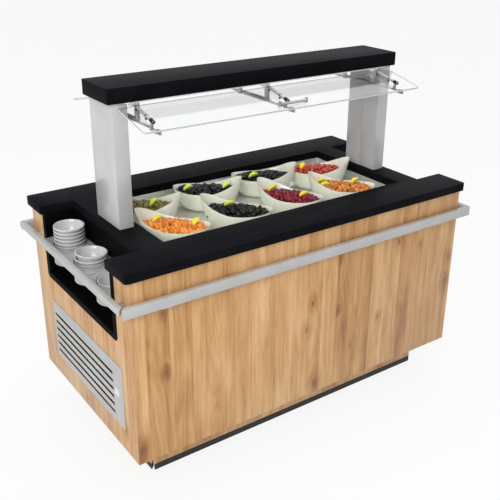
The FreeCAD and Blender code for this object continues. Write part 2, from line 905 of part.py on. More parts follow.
def well_insulation():
    """Foam tray round the tank, with a shallow space for the cold plate."""
    half_x = "well_length / 2 + tank_gauge + foam_play"
    half_y = "well_width / 2 + tank_gauge + foam_play"
    floor = "well_floor - plate_space"
    low = f"{floor} - foam_thick"
    high = "top_under - tank_gauge - foam_play"
    outer_x, outer_y = f"{half_x} + foam_thick", f"{half_y} + foam_thick"
    body = plate("XY", [block(f"-({outer_x})", outer_x, f"-({outer_y})", outer_y)], low, high)
    pocket(body, "XY", [block(f"-({half_x})", half_x, f"-({half_y})", half_y)], floor, high + " + 1")
    holes = [facets("drain_x", "0", "drain_radius + foam_play + 0.5", 2 * FACETS)]
    for side in ("", "-"):
        holes.append(facets("-line_x", f"{side}line_y", "line_radius + foam_play"))
    pocket(body, "XY", holes, low + " - 1", floor + " + 1")
    keep(body, "well_insulation")


def cold_plate():
    """Evaporator plate pressed against the tank's floor."""
    high = "well_floor - tank_gauge"
    low = f"{high} - plate_thick"
    half_x, half_y = "(well_length / 2 - 34)", "(well_width / 2 - 40)"
    body = plate("XY", [block(f"-{half_x}", half_x, f"-{half_y}", half_y)], low, high)
    hole = ("circle", "drain_x", "0", "drain_radius + drain_flange")
    pocket(body, "XY", [hole], low + " - 1", high + " + 1")
    keep(body, "cold_plate")


def refrigerant_lines():
    """Two copper lines from the cold plate down to the condensing unit."""
    pieces = []
    start = "well_floor - tank_gauge - plate_thick"
    for y, level in (("-line_y", "deck_top + 225"), ("line_y", "deck_top + 120")):
        corners = [("-line_x", start), ("-line_x", level), ("-line_x - 40", level)]
        pieces.append(mitred_tube("XZ", y, corners, "XY", start, facets("-line_x", y, "line_radius")))
    group("refrigerant_lines", pieces)


def drain():
    """Drain pipe through the deck, with a quarter-turn valve under it and its lever."""
    low = "valve_z - valve_half - 5"
    outer, inner = "drain_radius - 0.4", "drain_radius - 0.4 - drain_gauge"
    rim, top = "drain_radius + drain_flange", "well_floor + tank_gauge"
    under_flange = [(outer, "well_floor"), (rim, "well_floor")]
    profile = [(inner, low), (outer, low), *under_flange, (rim, top), (inner, top)]
    pipe = turned("XZ", "V", profile)
    pipe.setExpression("Placement", bound("placement(vector(drain_x; 0; 0); rotation(0; 0; 0))"))
    valve = box("drain_x - valve_half", "drain_x + valve_half", "-valve_half", "valve_half",
                "valve_z - valve_half", "valve_z + valve_half")
    bore = rod("z", "drain_x", "0", "valve_z - valve_half - 1", outer, "2 * valve_half + 2")
    shaft = rod("y", "drain_x", "valve_half - 1", "valve_z", "shaft_radius", "lever_gauge + 5", FACETS)
    group("drain_pipe", [pipe, join(cut(valve, bore), shaft)])

    near = "valve_half + 2"
    hub_radius = "lever_half + 3"
    lever = box(f"drain_x - ({hub_radius})", "drain_x + lever_length", near, f"{near} + lever_gauge",
                "valve_z - lever_half", "valve_z + lever_half")
    hub = rod("y", "drain_x", f"{near} - 1.5", "valve_z", hub_radius, "lever_gauge + 1.5", 2 * FACETS)
    hole = rod("y", "drain_x", "valve_half", "valve_z", "shaft_radius + pin_clearance", "4 * lever_gauge")
    keep(cut(join(lever, hub), hole), "drain_tap")


# ---------------------------------------------------------------- condensing unit and grille


def louvre_grille():
    """Front plate of the left end with six slots, each with a slanted blade behind it."""
    face = ("-(body_x + grille_gauge)", "-body_x")
    body = plate("YZ", [block("-grille_front", "grille_rear", "grille_bottom", "grille_top")], *face)
    slots = []
    for count in range(6):
        middle = f"slot_first + {count} * slot_pitch"
        tall = (f"{middle} - slot_height / 2", f"{middle} + slot_height / 2")
        slots.append(block("-slot_front", "slot_rear", *tall))
    pocket(body, "YZ", slots, face[0] + " - 1", face[1] + " + 1")
    seat = "barrel_half + 0.5"
    hole = block(f"-switch_y - ({seat})", f"-switch_y + {seat}", f"switch_z - ({seat})", f"switch_z + {seat}")
    pocket(body, "YZ", [hole], face[0] + " - 1", face[1] + " + 1")
    for count in range(6):
        top = f"slot_first + {count} * slot_pitch + slot_height / 2"
        blade = [
            ("-body_x - grille_gauge / 4", f"{top}"),
            ("-body_x - grille_gauge / 4", f"{top} + blade_gauge"),
            ("-body_x + blade_back", f"{top} - blade_fall"),
            ("-body_x + blade_back", f"{top} - blade_fall - blade_gauge"),
        ]
        pad(body, "XZ", [blade], "-slot_front - 2", "slot_rear + 2")
    keep(body, "louvre_grille")


def main_switch():
    """Rocker switch in the grille plate; the rocker turns on a cross pin in the housing's side walls."""
    face = "-(body_x + grille_gauge)"
    frame = box(f"{face} - switch_out", face, "-switch_y - switch_half", "-switch_y + switch_half",
                "switch_z - switch_half", "switch_z + switch_half")
    barrel = box(face, "-body_x + switch_deep", "-switch_y - barrel_half", "-switch_y + barrel_half",
                 "switch_z - barrel_half", "switch_z + barrel_half")
    hollow = box(f"{face} - switch_out - 1", "-body_x + switch_deep - 4", "-switch_y - cavity_half",
                 "-switch_y + cavity_half", "switch_z - cavity_half", "switch_z + cavity_half")
    reach = "cavity_half + 1"
    fit = "rocker_pin + pin_clearance"
    bore = rod("y", face, f"-switch_y - ({reach})", "switch_z", fit, f"2 * ({reach})")
    keep(cut(join(frame, barrel), hollow, bore), "main_switch")

    edge, deep = "-(body_x + 7)", "-(body_x + 1)"
    profile = [
        (deep, "switch_z - rocker_half"),
        (edge, "switch_z - rocker_half"),
        (f"{edge} + 1", "switch_z"),
        (edge, "switch_z + rocker_half"),
        (deep, "switch_z + rocker_half"),
        (f"{deep} + 4", "switch_z"),
    ]
    rocker = plate("XZ", [profile], "-switch_y - rocker_half", "-switch_y + rocker_half")
    pivot = "rocker_half + 1.4"
    pin = rod("y", face, f"-switch_y - ({pivot})", "switch_z", "rocker_pin", f"2 * ({pivot})", FACETS)
    keep(join(rocker, pin), "switch_rocker")


def condensing_unit():
    """Tray with the compressor, the finned condenser behind the grille, and the fan between them."""
    left, right = "-(unit_x + unit_half_x)", "-(unit_x - unit_half_x)"
    floor = "deck_top + unit_gauge"
    body = plate("XY", [block(left, right, "-unit_half_y", "unit_half_y")], "deck_top", "deck_top + unit_lip")
    inside = block(left + " + unit_gauge", right + " - unit_gauge", "-unit_half_y + unit_gauge",
                   "unit_half_y - unit_gauge")
    pocket(body, "XY", [inside], floor, "deck_top + unit_lip + 1")
    keep(body, "unit_tray")

    pot = rod("z", "-pot_x", "pot_y", floor, "pot_radius", "pot_height - pot_cap", 3 * FACETS)
    cap = rod("z", "-pot_x", "pot_y", floor, "pot_radius - pot_step", "pot_height", 3 * FACETS)
    keep(join(pot, cap), "compressor")

    near = f"{left} + 2 * unit_gauge"
    far = f"{near} + coil_thick"
    coil = plate("XY", [block(near, far, "-coil_half", "coil_half")], floor, floor + " + coil_height")
    fins = []
    for count in range(12):
        run = "(coil_half - coil_border - fin_gap)"
        middle = f"-{run} + {count} * 2 * {run} / 11"
        fins.append(block(near + " - 1", far + " - 8", f"{middle} - fin_gap", f"{middle} + fin_gap"))
    pocket(coil, "XY", fins, floor + " + coil_end", floor + " + coil_height - coil_end")
    keep(coil, "condenser")

    motor_x = "-fan_x + 14"
    mount_x = f"{motor_x} + motor_length"
    strip = box(mount_x, f"{mount_x} + mount_gauge", "-mount_half", "mount_half", floor, "fan_z + mount_half")
    foot = box(mount_x, f"{mount_x} + 40", "-mount_half", "mount_half", floor, f"{floor} + mount_gauge")
    motor = rod("x", motor_x, "0", "fan_z", "motor_radius", "motor_length", 2 * FACETS)
    shaft = rod("x", "-fan_x - 8", "0", "fan_z", "shaft_radius", "24", FACETS)
    keep(join(strip, foot, motor, shaft), "fan_motor")

    hub = rod("x", "-fan_x - 12", "0", "fan_z", "fan_hub", "22", 2 * FACETS)
    blades = []
    for count in range(4):
        blade = box("-blade_thick / 2", "blade_thick / 2", "-blade_half", "blade_half", "20", "fan_radius")
        turn = f"placement(vector(-fan_x - 1; 0; fan_z); rotation(0; 0; {count} * 90))"
        pitch = "placement(vector(0; 0; 0); rotation(blade_pitch; 0; 0))"
        corner = "placement(vector(-blade_thick / 2; -blade_half; 20); rotation(0; 0; 0))"
        blade.setExpression("Placement", bound(f"{turn} * {pitch} * {corner}"))
        blades.append(blade)
    fan = join(hub, *blades)
    bore = rod("x", "-fan_x - 9", "0", "fan_z", "shaft_radius + pin_clearance", "30")
    keep(cut(fan, bore), "condenser_fan")


def power_inlet():
    """Cable gland low on the rear panel."""
    outer = box("-gland_x - gland_half", "-gland_x + gland_half", "body_y", "body_y + gland_out",
                "gland_z - gland_half", "gland_z + gland_half")
    inner = rod("y", "-gland_x", "body_y + 2", "gland_z", "line_radius", "gland_out", FACETS)
    keep(cut(outer, inner), "power_inlet")


# ---------------------------------------------------------------- posts and canopy


def posts():
    """Steel cores bolted to the worktop, each wrapped by a folded cover that closes on its inner face."""
    cores, covers = [], []
    for side in (1, -1):
        x = sorted_span(side, "post_inner + core_inset", "post_inner + post_width - core_inset")
        play = "cover_gauge + cover_play"
        foot_x = sorted_span(side, f"post_inner + {play}", f"post_inner + post_width - ({play})")
        foot_y = f"post_half - ({play})"
        foot = box(*foot_x, f"-({foot_y})", foot_y, "top_height", "top_height + foot_thick")
        column = box(*x, "-core_half", "core_half", "top_height", "canopy_bottom")
        hollow = box(x[0] + " + core_gauge", x[1] + " - core_gauge", "-core_half + core_gauge",
                     "core_half - core_gauge", "top_height - 1", "canopy_bottom + 1")
        cores.append(cut(join(foot, column), hollow))
        sign = "" if side > 0 else "-"
        near, near_in = f"{sign}post_inner", f"{sign}(post_inner + cover_gauge)"
        far, far_in = f"{sign}(post_inner + post_width)", f"{sign}(post_inner + post_width - cover_gauge)"
        wide, wide_in = "post_half", "(post_half - cover_gauge)"
        outline = [(near, "seam_half"), (near, wide), (far, wide), (far, f"-{wide}"), (near, f"-{wide}")]
        outline += [(near, "-seam_half"), (near_in, "-seam_half"), (near_in, f"-{wide_in}")]
        outline += [(far_in, f"-{wide_in}"), (far_in, wide_in), (near_in, wide_in), (near_in, "seam_half")]
        covers.append(plate("XY", [outline], "top_height", "canopy_bottom"))
    group("post_cores", cores)
    group("post_covers", covers)


def canopy():
    """Black canopy box, the tray that closes it from below, and the lamp strip."""
    half_x, half_y = "canopy_length / 2", "canopy_depth / 2"
    body = plate("XY", [block(f"-{half_x}", half_x, f"-{half_y}", half_y)],
                 "canopy_bottom", "canopy_bottom + canopy_height")
    rounded(body, Vector(0, 0, 1), "canopy_corner", lambda p: True)
    in_x, in_y = f"{half_x} - canopy_gauge", f"{half_y} - canopy_gauge"
    pocket(body, "XY", [block(f"-({in_x})", in_x, f"-({in_y})", in_y)],
           "canopy_bottom - 1", "canopy_bottom + canopy_height - canopy_gauge")
    keep(body, "canopy_shell")
    tray_x, tray_y = f"{in_x} - cover_play", f"{in_y} - cover_play"
    tray = plate("XY", [block(f"-({tray_x})", tray_x, f"-({tray_y})", tray_y)],
                 "canopy_bottom", "canopy_bottom + canopy_gauge")
    keep(tray, "canopy_tray")
    lamp = plate("XY", [block("-lamp_half", "lamp_half", "-lamp_width / 2", "lamp_width / 2")],
                 "canopy_bottom - lamp_thick", "canopy_bottom")
    keep(lamp, "led_strip")


# ---------------------------------------------------------------- guards


ARMS = (-1, 0, 1)


def arm_x(count):
    """Place of one guard arm along the glass."""
    return f"arm_offset + {count} * arm_spacing" if count else "arm_offset"


def guard_brackets():
    """Hinge strip with a pair of lugs per arm, and the hangers for the stays' inner ends, on both sides."""
    under = "canopy_bottom - strip_thick"
    parts = [box("-strip_half", "strip_half", "-strip_front", "-strip_back", under, "canopy_bottom")]
    for count in ARMS:
        x = arm_x(count)
        near = "barrel_width / 2 + lug_play"
        for side in (1, -1):
            lug = sorted_span(side, near, f"{near} + lug_thick")
            parts.append(box(f"{x} + {lug[0]}", f"{x} + {lug[1]}", "-(hinge_out + lug_round)", "-strip_back",
                             "hinge_height - lug_below", "canopy_bottom"))
        reach = f"({near} + lug_thick / 2)"
        axis = (f"{x} - {reach}", "-hinge_out", "hinge_height")
        parts.append(rod("x", *axis, "pin_radius", f"2 * {reach}", FACETS))
    hinge = join(*parts)
    hangers = []
    low, high = "stay_anchor - hanger_half", "stay_anchor + hanger_half"
    far = "cheek_near + cheek_thick"
    for count in ARMS:
        x = f"{arm_x(count)} + stay_side"
        cheeks = []
        for side in (1, -1):
            cheek = sorted_span(side, "cheek_near", far)
            cheeks.append(box(f"{x} + {cheek[0]}", f"{x} + {cheek[1]}", low, high, "stay_z - hanger_below",
                              "canopy_bottom"))
        flange = box(f"{x} - ({far})", f"{x} + {far}", low, high, under, "canopy_bottom")
        start = f"{x} - cheek_near - 1"
        pin = rod("x", start, "stay_anchor", "stay_z", "stay_pin", "2 * cheek_near + 2", FACETS)
        hangers.append(join(*cheeks, flange, pin))
    pieces = [hinge] + hangers
    turn = "placement(vector(0; 0; 0); rotation(180; 0; 0))"
    doc.recompute()
    for piece in list(pieces):
        pieces += copies(piece, [turn])
    group("guard_brackets", pieces)


def guard_glass(label, place):
    """Pane with round outer corners and a hole for each arm's tip."""
    half = "glass_length / 2"
    low, high = "-(glass_drop + glass_thick / 2)", "-(glass_drop - glass_thick / 2)"
    body = plate("XY", [block(f"-{half}", half, "-glass_reach", "glass_behind")], low, high)
    rounded(body, Vector(0, 0, 1), "glass_corner", lambda p: True)
    holes = [("circle", arm_x(count), "-arm_reach", "arm_radius + hole_play") for count in ARMS]
    pocket(body, "XY", holes, low + " - 1", high + " + 1")
    body.setExpression("Placement", bound(place))
    keep(body, label)


def guard_arms(label, place):
    """Bent tubes with a hinge barrel at the canopy and a side pin for the stay at the tip."""
    arms = []
    for count in ARMS:
        x = arm_x(count)
        corners = [("0", "0"), ("-arm_reach", "0"), ("-arm_reach", "-(arm_drop + hook_over)")]
        bar = mitred_tube("YZ", x, corners, "XZ", "0", facets(x, "0", "arm_radius"))
        barrel = rod("x", f"{x} - barrel_width / 2", "0", "0", "barrel_radius", "barrel_width", FACETS)
        pin = rod("x", x, "-arm_reach", "-arm_drop", "stay_pin", "stay_side + 2 * eye_half", FACETS)
        bore = rod("x", f"{x} - barrel_width", "0", "0", "pin_radius + pin_clearance", "2 * barrel_width")
        arms.append(cut(join(bar, barrel, pin), bore))
    item = group(label, arms)
    item.setExpression("Placement", bound(place))


def guard_clamps(label, place):
    """Black sleeves on the arms, each with a stem that holds the glass."""
    glass = "-(glass_drop - glass_thick / 2)"
    fit = f"(arm_radius + clamp_fit) / cos({180 / FACETS})"
    pieces = []
    for count in ARMS:
        x = arm_x(count)
        for out in ("clamp_inner", "clamp_outer"):
            span = ("-" + out + " - clamp_length / 2", "-" + out + " + clamp_length / 2")
            sleeve = box(f"{x} - clamp_radius", f"{x} + clamp_radius", *span, "-clamp_radius", "clamp_radius")
            bore = rod("y", x, f"-{out} - clamp_length", "0", fit, "2 * clamp_length", FACETS)
            wide = (f"{x} - stem_half", f"{x} + stem_half")
            stem = box(*wide, f"-{out} - stem_half", f"-{out} + stem_half", glass, "-arm_radius - 1")
            pieces.append(join(cut(sleeve, bore), stem))
    item = group(label, pieces)
    item.setExpression("Placement", bound(place))


def guard_handle(label, place):
    """Bent bar on the glass."""
    foot = "-(glass_drop - glass_thick / 2)"
    top = f"{foot} + handle_height - handle_radius"
    bend = f"{top} - handle_bend"
    corners = [("-handle_half", foot), ("-handle_half", bend), ("-handle_half + handle_bend", top),
               ("handle_half - handle_bend", top), ("handle_half", bend), ("handle_half", foot)]
    body = mitred_tube("XZ", "-handle_out", corners, "XY", foot,
                       facets("-handle_half", "-handle_out", "handle_radius"))
    body.setExpression("Placement", bound(place))
    keep(body, label)


def guard_stays(side, yaw):
    """Sliding stays: a cylinder pinned under the canopy and a rod whose long eye rides on the arm's pin."""
    cylinders, rods = [], []
    for count in ARMS:
        x = f"{arm_x(count)} + stay_side"
        start = "stay_anchor - stay_length"
        low, high = f"{x} - eye_half", f"{x} + eye_half"
        barrel = rod("y", x, start, "stay_z", "stay_radius", "stay_length - 2 * eye_radius + 1", FACETS)
        deep = ("stay_anchor - 2 * eye_radius", "stay_anchor + eye_radius + 1")
        eye = box(low, high, *deep, "stay_z - eye_radius", "stay_z + eye_radius")
        hole = rod("x", f"{low} - 1", "stay_anchor", "stay_z", "stay_pin + pin_clearance", "2 * eye_half + 2")
        bore = rod("y", x, start + " - 1", "stay_z", "rod_radius + pin_clearance", "stay_bore", FACETS)
        cylinders.append(cut(join(barrel, eye), hole, bore))
        reach = "(stay_end_y - slot_in - 5)"
        bar = rod("y", x, f"-{reach}", "stay_z", "rod_radius", f"{reach} + {start} + rod_inside", FACETS)
        tip = box(low, high, "-(stay_end_y + slot_out + 3.5)", f"-{reach} + 2", "stay_z - tip_radius",
                  "stay_z + tip_radius")
        slot = box(f"{low} - 1", f"{high} + 1", "-(stay_end_y + slot_out)", "-(stay_end_y - slot_in)",
                   "stay_z - slot_half", "stay_z + slot_half")
        rods.append(cut(join(bar, tip), slot))
    for label, pieces in (("_stay_cylinders", cylinders), ("_stay_rods", rods)):
        item = group(side + label, pieces)
        item.setExpression("Placement", bound(f"placement(vector(0; 0; 0); rotation({yaw}; 0; 0))"))


def guards():
    """The same guard in front and, turned half round, behind."""
    for side, yaw, sign in (("front", 0, "-"), ("rear", 180, "")):
        place = f"placement(vector(0; {sign}hinge_out; hinge_height); rotation({yaw}; 0; guard_slope))"
        guard_glass(side + "_glass", place)
        guard_arms(side + "_guard_arms", place)
        guard_clamps(side + "_guard_clamps", place)
        guard_handle(side + "_handle", place)
        guard_stays(side, yaw)


# ---------------------------------------------------------------- dishes


STATIONS = (-1, -0.92, -0.75, -0.5, 0, 0.5, 0.75, 0.92, 1)  # places along a dish, from low tip to high tip
HEAP_STATIONS = STATIONS[2:-2]
RISE_TO_LOW = 3.0  # how late the rim rises towards the low tip, and towards the high tip
RISE_TO_HIGH = 1.6
KEEL_START = 0.55  # where the underside leaves the floor, and how steeply it climbs
KEEL_CLIMB = 2.2
BLUNT = 2.6  # bluntness of the dish's ends seen from above
FLANK = 0.6
TIP_HALF = 5.0
TIP_DEPTH = 14.0
BILGE_WIDE = 0.84  # the wall's bend: its share of the width, and its share of the height
BILGE_HIGH = 0.36
FLOOR_WIDE = 0.46
HEAP_DOME = 8.0  # height of the heap over the middle of the rim, and how much it falls to the ends
HEAP_FALL = 22.0
HEAP_WIDE = 0.9


def rim_height(t):
    """Height of the dish's rim at a place between the low tip (-1) and the high tip (1)."""
    low, middle, high = number("dish_low_tip"), number("dish_middle"), number("dish_high_tip")
    end, rise = (high, RISE_TO_HIGH) if t > 0 else (low, RISE_TO_LOW)
    return middle + (end - middle) * abs(t) ** rise


def keel_height(t):
    """Height of the dish's underside along its length."""
    end = rim_height(1 if t > 0 else -1) - TIP_DEPTH
    run = max(abs(t) - KEEL_START, 0) / (1 - KEEL_START)
    return end * run ** KEEL_CLIMB


def half_width(t):
    """Half the dish's width along its length, ending in a blunt tip."""
    return TIP_HALF + (number("dish_width") / 2 - TIP_HALF) * max(1 - abs(t) ** BLUNT, 0) ** FLANK


def dish_ring(t):
    """Outline across the dish's wall: out and down one side, up the other, and back along the inside."""
    wall = number("dish_wall")
    low, high = keel_height(t), rim_height(t)
    closed = abs(t) == 1
    floor = high - 1 if closed else low + wall
    outer = half_width(t)
    inner = outer / 2 if closed else outer - wall
    bilge = (low + BILGE_HIGH * (high - low), floor + BILGE_HIGH * (high - floor))
    right = [(outer, high), (BILGE_WIDE * outer, bilge[0]), (FLOOR_WIDE * outer, low)]
    inside = [(inner, high), (BILGE_WIDE * inner, bilge[1]), (FLOOR_WIDE * inner, floor)]
    ring = right + [(-y, z) for y, z in reversed(right)]
    ring += [(-y, z) for y, z in inside] + list(reversed(inside))
    x = t * number("dish_length") / 2
    return [Vector(x, y, z) for y, z in ring]


def heap_ring(t):
    """Outline across the heap of salad: along the dish's inside and over a low dome."""
    wall, play = number("dish_wall"), number("dish_play")
    low, high = keel_height(t) + wall + play, rim_height(t)
    top = number("dish_middle") + HEAP_DOME - HEAP_FALL * t * t
    wide = HEAP_WIDE * (half_width(t) - wall)
    bilge = low + BILGE_HIGH * (high - low)
    right = [(0.45 * wide, top), (0.92 * wide, (bilge + top) / 2), (BILGE_WIDE * wide, bilge)]
    right.append((0.85 * FLOOR_WIDE * wide, low))
    ring = right + [(-y, z) for y, z in reversed(right)]
    x = t * number("dish_length") / 2
    return [Vector(x, y, z) for y, z in ring]


DISH_CAPS = ((0, 1, 11), (1, 10, 11), (1, 2, 10), (2, 9, 10), (2, 3, 9), (3, 8, 9), (3, 4, 8), (4, 7, 8),
             (4, 5, 7), (5, 6, 7))
HEAP_CAPS = ((0, 1, 7), (1, 6, 7), (1, 2, 6), (2, 5, 6), (2, 3, 5), (3, 4, 5))

# middle of each dish on the well's floor, and the turn of its high tip from +X
FRONT_DISHES = ((-431, -110, 135.6), (-153, -111, 135.8), (114.5, -97, 121), (365.5, -126, 138.6))
REAR_DISHES = ((-425, 120, -36.3), (-121.5, 151, -34.7), (171, 162, -26.7), (424, 104, -34.5))


def dishes():
    """Two rows of four dishes on the floor of the well, each with its salad."""
    dish = doc.addObject("Part::Feature", "dish")
    dish.Shape = flat_sided([dish_ring(t) for t in STATIONS], DISH_CAPS)
    salad = doc.addObject("Part::Feature", "salad")
    salad.Shape = flat_sided([heap_ring(t) for t in HEAP_STATIONS], HEAP_CAPS)
    for side, row in (("front", FRONT_DISHES), ("rear", REAR_DISHES)):
        places = [f"placement(vector({x}; {y}; well_floor + dish_play); rotation({turn}; 0; 0))"
                  for x, y, turn in row]
        group(side + "_dishes", copies(dish, places))
        group(side + "_salads", copies(salad, places))


# ---------------------------------------------------------------- the whole


chassis()
for tag_x, sign_x in (("l", "-"), ("r", "")):
    for tag_y, sign_y in (("f", "-"), ("r", "")):
        castor(tag_y + tag_x, sign_x + "castor_x", sign_y + "castor_y")
base_deck()
cabinet_frame()
long_panels()
end_panel("left_end_panel", -1)
end_panel("right_end_panel", 1)
plinth("plinth_boards", "plinth_bottom + strip_height", "body_bottom")
plinth("plinth_strips", "plinth_bottom", "plinth_bottom + strip_height")
worktop()
niche_liners()
bowl_shelves()
side_bowls()
tray_rails()
rail_brackets()
well_tank()
well_insulation()
cold_plate()
refrigerant_lines()
drain()
louvre_grille()
main_switch()
condensing_unit()
power_inlet()
posts()
canopy()
guard_brackets()
guards()
dishes()

doc.recompute()
for item in doc.Objects:
    if "Invalid" in item.State or "Error" in item.State:
        raise RuntimeError(f"{item.Label} did not build: {item.State}")
for node in nodes:
    shape = node.Shape
    if shape.isNull() or not shape.isValid() or not shape.Solids:
        raise RuntimeError(f"{node.Label} has no valid solid")
for node in nodes:
    node.Shape.exportStep(f"parts/{node.Label}.step")
print(len(nodes), "sub-parts")
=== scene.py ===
"""Looks of a mobile salad bar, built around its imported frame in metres."""

import json
import logging
import math
import random
from collections.abc import Callable, Sequence
from dataclasses import dataclass, field
from enum import Enum

import bpy
from mathutils import Matrix, Vector

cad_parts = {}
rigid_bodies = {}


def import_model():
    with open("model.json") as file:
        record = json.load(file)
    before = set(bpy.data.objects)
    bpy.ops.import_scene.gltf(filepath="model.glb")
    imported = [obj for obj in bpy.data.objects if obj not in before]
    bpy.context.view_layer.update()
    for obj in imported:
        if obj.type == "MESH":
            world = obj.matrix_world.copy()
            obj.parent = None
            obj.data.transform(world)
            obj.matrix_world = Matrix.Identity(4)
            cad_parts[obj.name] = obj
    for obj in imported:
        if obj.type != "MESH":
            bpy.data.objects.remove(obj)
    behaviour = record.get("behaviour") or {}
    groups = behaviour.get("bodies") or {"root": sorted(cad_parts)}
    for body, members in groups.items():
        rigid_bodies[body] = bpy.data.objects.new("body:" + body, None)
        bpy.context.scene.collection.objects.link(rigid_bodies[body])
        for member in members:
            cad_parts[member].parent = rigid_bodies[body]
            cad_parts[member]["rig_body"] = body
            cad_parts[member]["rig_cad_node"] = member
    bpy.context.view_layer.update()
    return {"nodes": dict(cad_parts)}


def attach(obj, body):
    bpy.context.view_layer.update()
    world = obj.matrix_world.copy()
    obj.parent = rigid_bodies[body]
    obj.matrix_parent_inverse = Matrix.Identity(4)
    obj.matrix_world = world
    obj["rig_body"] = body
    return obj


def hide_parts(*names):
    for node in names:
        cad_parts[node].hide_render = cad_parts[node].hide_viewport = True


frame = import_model()

MM = 0.001
IMAGE_SIDE = 500.0
SENSOR_MM = 36.0
# Points this near to each other, in metres, are one: in modelled meshes, and in copies of CAD nodes.
MERGE = 0.00002
CAD_MERGE = 0.00001
LOG = logging.getLogger("salad_bar")
# Rings of a turned form: radius and height of each, in millimetres.
Profile = tuple[tuple[float, float], ...]


def linear(code: str) -> tuple[float, float, float, float]:
    """Turns an sRGB hex code into linear light.

    Args:
        code: Colour such as "#D2A66E".

    Returns:
        Red, green, blue and an alpha of one.
    """
    parts = [int(code[place : place + 2], 16) / 255 for place in (1, 3, 5)]
    red, green, blue = (p / 12.92 if p <= 0.04045 else ((p + 0.055) / 1.055) ** 2.4 for p in parts)
    return red, green, blue, 1.0


def add_node(tree, kind: str, inputs: dict | None = None, stops: Sequence = (), **settings):
    """Adds a node with its settings and links.

    Args:
        tree: Node tree that takes the node.
        kind: Blender's name of the node type.
        inputs: Value or source socket of each input, by name or number.
        stops: Places and hex colours of a colour ramp.
        **settings: Properties of the node itself.

    Returns:
        The new node.
    """
    made = tree.nodes.new(kind)
    for name, value in settings.items():
        setattr(made, name, value)
    for place, code in stops:
        fresh = place not in (stops[0][0], stops[-1][0])
        last = place == stops[-1][0]
        stop = made.color_ramp.elements.new(place) if fresh else made.color_ramp.elements[-1 if last else 0]
        stop.position = place
        stop.color = linear(code)
    for name, value in (inputs or {}).items():
        socket = made.inputs[name]
        if isinstance(value, bpy.types.NodeSocket):
            tree.links.new(value, socket)
        else:
            socket.default_value = value
    return made


def calc(tree, operation: str, *values, kind: str = "Math"):
    """Adds a node that calculates.

    Args:
        tree: Node tree that takes the node.
        operation: Blender's name of the operation.
        *values: Numbers or sockets, in the order of the node's inputs.
        kind: "Math" or "VectorMath".

    Returns:
        The node's first output.
    """
    return add_node(tree, f"ShaderNode{kind}", dict(enumerate(values)), operation=operation).outputs[0]


def ranged(tree, value, source: tuple[float, float], target: tuple[float, float] = (0.0, 1.0), **settings):
    """Maps one range of a value to another.

    Args:
        tree: Node tree that takes the node.
        value: Socket of the value.
        source: Range of the value.
        target: Range of the result.
        **settings: Properties of the node itself.

    Returns:
        Socket of the result.
    """
    names = ("Value", "From Min", "From Max", "To Min", "To Max")
    inputs = dict(zip(names, (value, *source, *target)))
    return add_node(tree, "ShaderNodeMapRange", inputs, **settings).outputs["Result"]


def noise(tree, place, scale: float, detail: float, stretch: Sequence[float] = (), **inputs):
    """Adds a noise texture.

    Args:
        tree: Node tree that takes the node.
        place: Socket of the coordinates.
        scale: Scale of the noise.
        detail: Number of finer layers.
        stretch: Scale of each axis, if the coordinates are stretched first.
        **inputs: Further inputs of the texture.

    Returns:
        Socket of the noise, between 0 and 1.
    """
    if stretch:
        place = add_node(tree, "ShaderNodeMapping", {"Vector": place, "Scale": stretch}).outputs["Vector"]
    inputs = {"Vector": place, "Scale": scale, "Detail": detail, **inputs}
    return add_node(tree, "ShaderNodeTexNoise", inputs).outputs["Fac"]


def ramped(tree, value, *stops: tuple[float, str]):
    """Returns the colour socket of a ramp with hex colours at its stops."""
    return add_node(tree, "ShaderNodeValToRGB", {"Fac": value}, stops).outputs["Color"]


def laid_over(tree, share, under, over: str):
    """Returns the colour socket of a hex colour mixed over another colour by a share."""
    inputs = {0: share, 6: under, 7: linear(over)}
    return add_node(tree, "ShaderNodeMix", inputs, data_type="RGBA").outputs[2]


# ---------------------------------------------------------------- finishes


